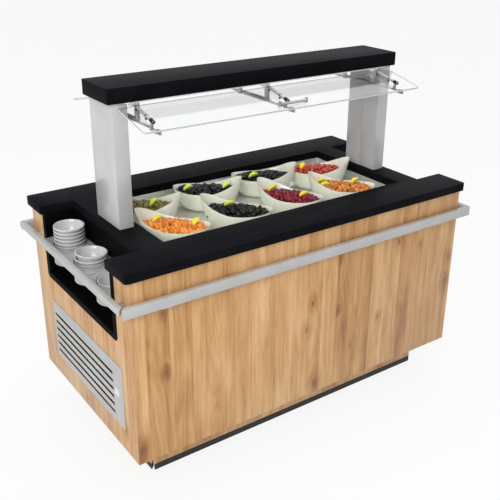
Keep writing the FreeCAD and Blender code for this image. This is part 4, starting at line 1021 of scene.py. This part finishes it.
@dataclass
class SneezeGuard:
    """One hinged glass guard with its arms, sleeves and handle.

    Sizes run outwards from the hinge line along the arms, and square to them.
    """

    side: Side
    hinge_out: float = 112 * MM
    hinge_height: float = 1345 * MM
    slope: float = 13.0
    arms_x: tuple[float, ...] = (-563 * MM, -20 * MM, 523 * MM)
    arm_radius: float = 5.6 * MM
    reach: float = 155 * MM
    drop: float = 31 * MM
    bend: float = 13 * MM
    sleeve_out: tuple[float, ...] = (21 * MM, 90 * MM, 129 * MM)
    sleeve_sizes: tuple[tuple[float, float], ...] = ((6.2, 4.0), (6.2, 4.0), (7.0, 19.0))
    glass_half: float = 616 * MM
    glass_reach: float = 176.5 * MM
    glass_behind: float = 12 * MM
    glass_drop: float = 15 * MM
    glass_thick: float = 6 * MM
    glass_corner: float = 12 * MM
    arris: float = 0.9 * MM
    handle_half: float = 60 * MM
    handle_out: float = 144 * MM
    handle_height: float = 30 * MM
    handle_radius: float = 5.5 * MM
    handle_bend: float = 9 * MM
    pin_side: float = 13 * MM
    below_pin: float = 5 * MM

    @property
    def place(self) -> Matrix:
        """Place of the guard at rest."""
        turn = Matrix.Rotation(math.radians(self.side.value[1]), 4, "Z")
        lift = Matrix.Translation((0.0, -self.hinge_out, self.hinge_height))
        return turn @ lift @ Matrix.Rotation(math.radians(self.slope), 4, "X")

    @property
    def name(self) -> str:
        """Name of the side."""
        return self.side.value[0]

    @property
    def body(self) -> str:
        """CAD body of the guard."""
        return f"{self.name}_guard"

    def arm(self, x: float) -> bpy.types.Object:
        """Bends one arm: a straight run and a hooked tip, with its barrel and side pin.

        Args:
            x: Place along the hinge line.

        Returns:
            The arm.
        """
        straight = self.reach - self.bend
        tube = Tube(Vector((x, 0.0, 0.0)), Vector((0.0, -1.0, 0.0)), self.arm_radius)
        tube.run(Vector((0.0, -straight, 0.0)))
        tube.bend(Vector((x, -straight, -self.bend)), Vector((1.0, 0.0, 0.0)), 90)
        tube.run(Vector((0.0, 0.0, -(self.drop + self.below_pin - self.bend))))
        rod = tube.done()
        barrel = turned_pin(Vector((x, 0.0, 0.0)), "X", 6.9 * MM, 16 * MM, 0.8 * MM)
        pin_middle = Vector((x + self.pin_side / 2, -self.reach, -self.drop))
        pin = turned_pin(pin_middle, "X", 3 * MM, self.pin_side + 6 * MM, 0.5 * MM)
        cap_middle = Vector((x + self.pin_side + 4.6 * MM, -self.reach, -self.drop))
        cap = turned_pin(cap_middle, "X", 4.4 * MM, 1.6 * MM, 0.3 * MM)
        return joined([rod, barrel, pin, cap])

    def sleeve(self, x: float, out: float, radius: float, length: float) -> bpy.types.Object:
        """Models a sleeve on an arm with the stem and washer that hold the glass.

        Args:
            x: Place of the arm.
            out: Distance from the hinge line.
            radius: Outer radius of the sleeve.
            length: Length of the sleeve.

        Returns:
            The sleeve.
        """
        ring = turned_pin(Vector((x, -out, 0.0)), "Y", radius, length, 0.5 * MM, 28)
        glass = -(self.glass_drop - self.glass_thick / 2)
        stem_middle = Vector((x, -out, glass / 2 - 2 * MM))
        stem = turned_pin(stem_middle, "Z", 2.6 * MM, -glass - 4.2 * MM, 0.3 * MM, 16)
        washer = turned_pin(Vector((x, -out, glass + 0.75 * MM)), "Z", 5 * MM, 1.4 * MM, 0.4 * MM)
        return joined([ring, stem, washer])

    def pane(self) -> bpy.types.Object:
        """Cuts the pane, rounds its corners and polishes its edges.

        Returns:
            The pane, with a finish of its own round the edge.
        """
        nothing_selected()
        deep = self.glass_reach + self.glass_behind
        middle = (self.glass_behind - self.glass_reach) / 2
        bpy.ops.mesh.primitive_cube_add(size=1.0, location=(0.0, middle, -self.glass_drop))
        pane = bpy.context.object
        pane.scale = (2 * self.glass_half, deep, self.glass_thick)
        set_in_mesh()
        pick(pane)
        for part in (pane.data.vertices, pane.data.polygons):
            part.foreach_set("select", [False] * len(part))
        for edge in pane.data.edges:
            low, high = (pane.data.vertices[index].co for index in edge.vertices)
            edge.select = abs(low.z - high.z) > self.glass_thick / 2
        bpy.context.tool_settings.mesh_select_mode = (False, True, False)
        bpy.ops.object.mode_set(mode="EDIT")
        bpy.ops.mesh.bevel(offset=self.glass_corner, segments=8, affect="EDGES")
        bpy.ops.object.mode_set(mode="OBJECT")
        bevelled(pane, self.arris, 1)
        tidy_mesh(pane, 30)
        dress(pane, GLASS, GLASS_EDGE, GLASS_ARRIS)
        # Flat faces take the glass, the upright edge faces take the polished edge, and the slanted arris
        # faces take the painted shade of the edge line.
        for face in pane.data.polygons:
            upright = abs(face.normal.z)
            face.material_index = 0 if upright > 0.9 else 1 if upright < 0.1 else 2
        return pane

    def handle(self) -> bpy.types.Object:
        """Bends the bar handle and puts a flange under each foot.

        Returns:
            The handle.
        """
        foot = -(self.glass_drop - self.glass_thick / 2)
        top = foot + self.handle_height - self.handle_radius
        bend = self.handle_bend
        out, half = -self.handle_out, self.handle_half
        rise = top - foot - bend
        tube = Tube(Vector((-half, out, foot)), Vector((0.0, 0.0, 1.0)), self.handle_radius)
        tube.run(Vector((0.0, 0.0, rise)))
        tube.bend(Vector((-half + bend, out, top - bend)), Vector((0.0, 1.0, 0.0)), 90)
        tube.run(Vector((2 * (half - bend), 0.0, 0.0)))
        tube.bend(Vector((half - bend, out, top - bend)), Vector((0.0, 1.0, 0.0)), 90)
        tube.run(Vector((0.0, 0.0, -rise)))
        bar = tube.done()
        feet = (Vector((x, out, foot + 0.8 * MM)) for x in (-half, half))
        flanges = [turned_pin(middle, "Z", 7.5 * MM, 1.6 * MM, 0.4 * MM) for middle in feet]
        return joined([bar, *flanges])

    def build(self) -> None:
        """Builds the guard and puts it on its hinge."""
        self.hang(self.pane(), "pane", "glass")
        for count, x in enumerate(self.arms_x, 1):
            self.hang(dress(self.arm(x), ANODISED), f"arm_{count}", "guard_arms")
            for number, (out, (radius, length)) in enumerate(zip(self.sleeve_out, self.sleeve_sizes), 1):
                sleeve = dress(self.sleeve(x, out, radius * MM, length * MM), BLACK_ENAMEL)
                self.hang(sleeve, f"sleeve_{count}_{number}", "guard_clamps")
        self.hang(dress(self.handle(), ANODISED), "bar_handle", "handle")

    def hang(self, piece: bpy.types.Object, name: str, node: str) -> None:
        """Settles one piece on the guard.

        Args:
            piece: Finished mesh object.
            name: Name of the piece without the side.
            node: CAD node that it stands for, without the side.
        """
        settle(piece, f"{self.name}_{name}", self.body, [f"{self.name}_{node}"], self.place)


@dataclass
class Dish:
    """A boat-shaped dish with a high prow, filled with one food and its lemon wedges."""

    x: float
    y: float
    turn: float
    food: Food
    wedges: tuple[tuple[float, float], ...]
    wedge_finish: Finish
    length: float = 288 * MM
    width: float = 156 * MM
    middle: float = 84 * MM
    low_tip: float = 97 * MM
    high_tip: float = 141 * MM
    blunt: float = 5 * MM
    flat: float = 0.46
    steep: float = 2.9
    food_long: float = 0.90
    food_wide: float = 0.88
    wall: float = 4 * MM
    floor: float = 795.3 * MM
    wedge_radius: float = 17 * MM
    pith_width: float = 2.4 * MM
    wedge_rise: float = 10 * MM

    @property
    def place(self) -> Matrix:
        """Place of the dish on the floor of the well."""
        turned = Matrix.Rotation(math.radians(self.turn), 4, "Z")
        return Matrix.Translation((self.x, self.y, self.floor)) @ turned

    def rim(self, along: float) -> float:
        """Height of the rim from the low tip (-1) to the high tip (1)."""
        end, power = (self.high_tip, 1.6) if along > 0 else (self.low_tip, 3.0)
        return self.middle + (end - self.middle) * abs(along) ** power

    def half(self, along: float) -> float:
        """Half width of the rim at a share of the half length."""
        return (self.width / 2 - self.blunt) * max(1 - abs(along) ** 2.6, 0.0) ** 0.6

    def holds(self, x: float, y: float, up: float, radius: float) -> bool:
        """Estimates whether a round piece lies clear of the wall, along the ray through its middle.

        Args:
            x: Place along the dish.
            y: Place across the dish.
            up: Height over the dish's floor.
            radius: Radius of the piece.

        Returns:
            True if the piece seems to be inside.
        """
        push = 1 + (radius + self.wall) / max(math.hypot(x, y), 1 * MM)
        out_x, out_y = x * push, abs(y * push)
        low = abs(out_x) / (self.length / 2)
        high = 1.5
        for _ in range(12):
            share = (low + high) / 2
            reach = share * (self.half(out_x / (share * self.length / 2)) + self.blunt)
            low, high = (share, high) if reach < out_y else (low, share)
        rim = self.rim(max(min(out_x / (high * self.length / 2), 1.0), -1.0))
        wall_share = self.flat + (1 - self.flat) * min(up / rim, 1.0) ** (1 / self.steep)
        return high < wall_share

    def shell(self) -> bpy.types.Object:
        """Shapes the dish from half a sphere: flat floor, steep prow, thin rounded rim.

        Returns:
            The dish, standing on the origin with its high tip on +x.
        """
        nothing_selected()
        bpy.ops.mesh.primitive_uv_sphere_add(segments=56, ring_count=28, radius=1.0)
        shell = bpy.context.object
        whole_mesh()
        bpy.ops.mesh.bisect(plane_co=(0.0, 0.0, 0.0), plane_no=(0.0, 0.0, 1.0), clear_outer=True)
        bpy.ops.object.mode_set(mode="OBJECT")
        for point in shell.data.vertices:
            flat = math.hypot(point.co.x, point.co.y)
            share = math.acos(max(-1.0, min(1.0, -point.co.z))) / (math.pi / 2)
            ahead, aside = (point.co.x / flat, point.co.y / flat) if flat > 1e-6 else (1.0, 0.0)
            climb = max((share - self.flat) / (1 - self.flat), 0.0) ** self.steep
            half = math.copysign(self.half(ahead) + self.blunt * abs(aside) ** 0.5, aside)
            point.co = (ahead * share * self.length / 2, share * half, self.rim(ahead) * climb)
        tidy_mesh(shell, 180)
        modified(shell, "SOLIDIFY", thickness=self.wall, offset=-1.0, use_even_offset=True)
        modified(shell, "SUBSURF", levels=1, render_levels=1)
        tidy_mesh(shell, 60)
        low = min(point.co.z for point in shell.data.vertices)
        shell.data.transform(Matrix.Translation((0.0, 0.0, -low)))
        return dress(shell, CREAM_MELAMINE)

    def mound(self, along: float, aside: float) -> float:
        """Height of the food over the dish's floor.

        Args:
            along: Share of the half length.
            aside: Share of the half width of the food.

        Returns:
            Height in metres.
        """
        return self.middle + (9 - 13 * along * along - 15 * aside * aside) * MM

    def bed(self) -> bpy.types.Object:
        """Shapes the deep layer of food that fills the dish under the loose pieces.

        Returns:
            The bed.
        """
        nothing_selected()
        bpy.ops.mesh.primitive_uv_sphere_add(segments=40, ring_count=16, radius=1.0)
        bed = bpy.context.object
        half_x, half_y = 0.8 * self.food_long * self.length / 2, 0.82 * self.food_wide * self.width / 2
        for point in bed.data.vertices:
            along, aside, up = point.co
            top = self.mound(along, aside) - 14 * MM
            low = 8 * MM + 48 * MM * (along * along + aside * aside) ** 1.5
            point.co = (along * half_x, aside * half_y, low + max(top - low, 2 * MM) * (up + 1) / 2)
        tidy_mesh(bed, 180)
        return bed

    def morsel(self, seed: random.Random) -> bpy.types.Object:
        """Shapes one piece of food, with a dimple at its stalk end.

        Args:
            seed: Source of the small differences.

        Returns:
            The piece, at the origin.
        """
        _, long, wide = self.food.value
        nothing_selected()
        bpy.ops.mesh.primitive_uv_sphere_add(segments=10, ring_count=7, radius=0.5)
        morsel = bpy.context.object
        for point in morsel.data.vertices:
            lump = 1 + seed.uniform(-0.06, 0.06)
            inward = 0.8 if abs(point.co.z) > 0.499 else 1.0
            point.co = (
                point.co.x * wide * MM * lump,
                point.co.y * wide * MM * lump,
                point.co.z * long * MM * lump * inward,
            )
        pick(morsel)
        bpy.ops.object.shade_smooth()
        return morsel

    def spots(self, seed: random.Random) -> list[Vector]:
        """Spreads the pieces over the mound in two loose layers.

        Args:
            seed: Source of the jitter.

        Returns:
            Middles of the pieces.
        """
        _, long, wide = self.food.value
        pitch = 0.9 * (long + wide) / 2 * MM
        half_x, half_y = self.food_long * self.length / 2, self.food_wide * self.width / 2
        found = []
        for layer, sink in enumerate((0.9, 0.15)):
            rows = int(2 * half_y / (pitch * 0.87)) + 1
            for row in range(-rows // 2, rows // 2 + 1):
                columns = int(2 * half_x / pitch) + 1
                for column in range(-columns // 2, columns // 2 + 1):
                    x = (column + 0.5 * (row % 2) + 0.33 * layer) * pitch + seed.uniform(-0.2, 0.2) * pitch
                    y = (row * 0.87 + 0.4 * layer) * pitch + seed.uniform(-0.2, 0.2) * pitch
                    along, aside = x / half_x, y / half_y
                    up = self.mound(along, aside) - sink * wide * MM + seed.uniform(-0.2, 0.2) * wide * MM
                    if abs(along) < 1 and abs(aside) < 1 and self.holds(x, y, up, wide * MM / 2):
                        found.append(Vector((x, y, up)))
        return found

    def filling(self, seed: random.Random) -> bpy.types.Object:
        """Heaps the pieces of food on the bed.

        Args:
            seed: Source of every random draw.

        Returns:
            The filling, with a shade for each piece.
        """
        pattern = self.morsel(seed)
        bed = self.bed()
        pieces = [bed]
        bed.data.attributes.new("shade", "FLOAT", "POINT")
        for spot in self.spots(seed):
            piece = twin(pattern)
            tip = Matrix.Rotation(seed.uniform(0.9, 2.2), 4, "X")
            spin = Matrix.Rotation(seed.uniform(0, 2 * math.pi), 4, "Z")
            grow = Matrix.Scale(seed.uniform(0.88, 1.1), 4)
            piece.data.transform(Matrix.Translation(spot) @ spin @ tip @ grow)
            shade = piece.data.attributes.new("shade", "FLOAT", "POINT")
            own = seed.uniform(0.12, 0.62)
            shade.data.foreach_set("value", [own] * len(piece.data.vertices))
            pieces.append(piece)
        bpy.data.objects.remove(pattern)
        return dress(joined(pieces), self.food.finish)

    def wedge(self, seed: random.Random) -> bpy.types.Object:
        """Cuts a wedge of lemon: rind outside, pith and flesh on the cut faces.

        Args:
            seed: Source of its turn.

        Returns:
            The wedge, at the origin.
        """
        nothing_selected()
        bpy.ops.mesh.primitive_uv_sphere_add(segments=24, ring_count=14, radius=self.wedge_radius)
        wedge = bpy.context.object
        wedge.scale = (1.0, 1.0, 1.3)
        bpy.ops.object.transform_apply(location=False, rotation=False, scale=True)
        for normal in ((0.8, 1.0, 0.0), (0.8, -1.0, 0.0)):
            whole_mesh()
            bpy.ops.mesh.bisect(plane_co=(0.0, 0.0, 0.0), plane_no=normal, clear_outer=True, use_fill=True)
            bpy.ops.object.mode_set(mode="OBJECT")
        dress(wedge, self.wedge_finish, PITH, LEMON_FLESH)

        def cut(face: bpy.types.MeshPolygon) -> bool:
            """Tells a cut face from the rind."""
            return len(face.vertices) > 5

        for face in wedge.data.polygons:
            face.material_index = 1 if cut(face) else 0
        select_faces(wedge, cut)
        bpy.ops.mesh.inset(thickness=self.pith_width, depth=0.0, use_individual=True)
        bpy.context.object.active_material_index = 2
        bpy.ops.object.material_slot_assign()
        bpy.ops.object.mode_set(mode="OBJECT")
        pick(wedge)
        bpy.ops.object.shade_smooth_by_angle(angle=math.radians(40))
        turn = Matrix.Rotation(seed.uniform(-0.6, 0.6), 4, "Z")
        lean = Matrix.Rotation(seed.uniform(0.9, 1.5), 4, "Y")
        wedge.data.transform(turn @ lean)
        return wedge

    def build(self, name: str, row: str, seed: random.Random) -> None:
        """Builds the dish, its food and its wedges.

        Args:
            name: Name of the dish.
            row: "front" or "rear", the row that it stands in.
            seed: Source of every random draw.
        """
        body = f"{row}_dishes"
        settle(self.shell(), name, body, [f"{row}_dishes"], self.place)
        settle(self.filling(seed), f"{name}_filling", body, [f"{row}_salads"], self.place)
        for count, (x, y) in enumerate(self.wedges, 1):
            spot = self.place.inverted() @ Vector((x, y, self.floor))
            along = 2 * spot.x / (self.food_long * self.length)
            aside = 2 * spot.y / (self.food_wide * self.width)
            along, aside = (min(max(share, -0.9), 0.9) for share in (along, aside))
            up = self.floor + self.mound(along, aside) + self.wedge_rise
            wedge = self.wedge(seed)
            settle(wedge, f"{name}_wedge_{count}", body, (), Matrix.Translation((x, y, up)))


@dataclass
class SaladRows:
    """The eight dishes, by row and from left to right."""

    seed: int = 11
    front: tuple[Dish, ...] = (
        Dish(-0.431, -0.110, 135.6, Food.ROAST_CARROT, ((-0.47, -0.07), (-0.36, -0.16)), LEMON_RIND),
        Dish(-0.153, -0.111, 135.8, Food.PRUNE, ((-0.17, -0.09),), LIME_RIND),
        Dish(0.1145, -0.097, 121.0, Food.BEETROOT, ((0.08, -0.03), (0.14, -0.16)), LEMON_RIND),
        Dish(0.3655, -0.126, 138.6, Food.CHICKPEA, ((0.30, -0.07), (0.29, -0.11), (0.42, -0.15)), LEMON_RIND),
    )
    rear: tuple[Dish, ...] = (
        Dish(-0.425, 0.120, -36.3, Food.GREEN_OLIVE, ((-0.40, 0.09),), LIME_RIND),
        Dish(-0.1215, 0.151, -34.7, Food.BLACK_OLIVE, ((-0.20, 0.17), (-0.06, 0.10)), LIME_RIND),
        Dish(0.171, 0.162, -26.7, Food.BLACK_OLIVE, ((0.11, 0.15),), LIME_RIND),
        Dish(0.424, 0.104, -34.5, Food.RED_PEPPER, ((0.36, 0.13),), LEMON_RIND),
    )

    def build(self) -> None:
        """Builds both rows with one stream of random draws."""
        seed = random.Random(self.seed)
        for row, dishes in (("front", self.front), ("rear", self.rear)):
            for count, dish in enumerate(dishes, 1):
                dish.build(f"{row}_dish_{count}", row, seed)


# ---------------------------------------------------------------- studio


@dataclass
class Studio:
    """Camera at the photograph's place, pale floor and soft lamps."""

    eye: tuple[float, float, float] = (-1.68571, -2.40387, 1.95852)
    yaw: float = 35.7146
    pitch: float = 23.195
    roll: float = 0.686
    focal_pixels: float = 769.47
    centre_pixels: tuple[float, float] = (260.54, 234.44)
    floor_side: float = 60.0
    white_share: float = 0.88
    world_light: float = 0.62

    def seen(self, tree):
        """Returns a socket that is 1 for camera rays, for reflections and through glass."""
        rays = add_node(tree, "ShaderNodeLightPath").outputs
        straight = calc(tree, "MAXIMUM", rays["Is Camera Ray"], rays["Is Glossy Ray"])
        return calc(tree, "MAXIMUM", straight, rays["Is Transmission Ray"])

    def camera(self) -> None:
        """Puts the camera where the photograph was taken from."""
        yaw, pitch, roll = (math.radians(angle) for angle in (self.yaw, self.pitch, self.roll))
        ahead = Vector((math.sin(yaw) * math.cos(pitch), math.cos(yaw) * math.cos(pitch), -math.sin(pitch)))
        level = Vector((math.cos(yaw), -math.sin(yaw), 0.0))
        upright = level.cross(ahead)
        right = math.cos(roll) * level + math.sin(roll) * upright
        up = math.cos(roll) * upright - math.sin(roll) * level
        lens = bpy.data.cameras.new("camera")
        lens.sensor_width = SENSOR_MM
        lens.lens = self.focal_pixels / IMAGE_SIDE * SENSOR_MM
        lens.shift_x = (IMAGE_SIDE / 2 - self.centre_pixels[0]) / IMAGE_SIDE
        lens.shift_y = (self.centre_pixels[1] - IMAGE_SIDE / 2) / IMAGE_SIDE
        camera = bpy.data.objects.new("camera", lens)
        camera.matrix_world = Matrix.Translation(self.eye) @ Matrix((right, up, -ahead)).transposed().to_4x4()
        bpy.context.scene.collection.objects.link(camera)
        bpy.context.scene.camera = camera

    def floor(self) -> None:
        """Lays a pale floor, nearly white to the camera, that keeps a trace of the object's shadow."""
        nothing_selected()
        bpy.ops.mesh.primitive_plane_add(size=self.floor_side, location=(0.0, 0.0, 0.0))
        floor = bpy.context.object
        floor.name = "studio_floor"
        material = bpy.data.materials.new("pale_studio_paper")
        material.use_nodes = True
        tree = material.node_tree
        tree.nodes.clear()
        paper = add_node(tree, "ShaderNodeBsdfDiffuse", {"Color": linear("#EDEDEC")})
        white = add_node(tree, "ShaderNodeEmission", {"Color": (1.0, 1.0, 1.0, 1.0), "Strength": 1.0})
        share = calc(tree, "MULTIPLY", self.seen(tree), self.white_share)
        both = add_node(
            tree,
            "ShaderNodeMixShader",
            {0: share, 1: paper.outputs["BSDF"], 2: white.outputs["Emission"]},
        )
        add_node(tree, "ShaderNodeOutputMaterial", {"Surface": both.outputs["Shader"]})
        floor.data.materials.append(material)

    def lamp(
        self, name: str, place: Sequence[float], aim: Sequence[float], side: float, watts: float
    ) -> None:
        """Hangs one soft lamp.

        Args:
            name: Name of the lamp.
            place: Where it hangs.
            aim: Point that it faces.
            side: Side of its square panel.
            watts: Power.
        """
        light = bpy.data.lights.new(name, "AREA")
        light.size = side
        light.energy = watts
        lamp = bpy.data.objects.new(name, light)
        lamp.location = place
        lamp.rotation_euler = (Vector(aim) - Vector(place)).to_track_quat("-Z", "Y").to_euler()
        bpy.context.scene.collection.objects.link(lamp)

    def world(self) -> None:
        """Lights evenly from all round, and shows white to the camera, in mirrors and through glass."""
        world = bpy.data.worlds.new("studio_world")
        bpy.context.scene.world = world
        world.use_nodes = True
        tree = world.node_tree
        tree.nodes.clear()
        strength = ranged(tree, self.seen(tree), (0.0, 1.0), (self.world_light, 1.0))
        sky = add_node(tree, "ShaderNodeBackground", {"Color": (1.0, 1.0, 1.0, 1.0), "Strength": strength})
        add_node(tree, "ShaderNodeOutputWorld", {"Surface": sky.outputs["Background"]})

    def build(self) -> None:
        """Sets the whole studio up."""
        self.camera()
        self.floor()
        self.world()
        self.lamp("key", (-4.6, -3.9, 3.9), (0.0, 0.0, 0.7), 3.2, 215.0)
        self.lamp("top", (0.3, 0.4, 4.2), (0.0, 0.0, 0.8), 3.2, 60.0)
        bpy.context.scene.view_settings.view_transform = "Standard"


def main() -> None:
    """Builds the studio and every piece of the salad bar."""
    logging.basicConfig(level=logging.INFO, format="%(message)s")
    Studio().build()
    cabinet = Cabinet()
    cabinet.dress()
    cabinet.build()
    Undercarriage().dress()
    BowlStacks().build()
    for side in Side:
        SneezeGuard(side).build()
    SaladRows().build()


if __name__ == "__main__":
    main()
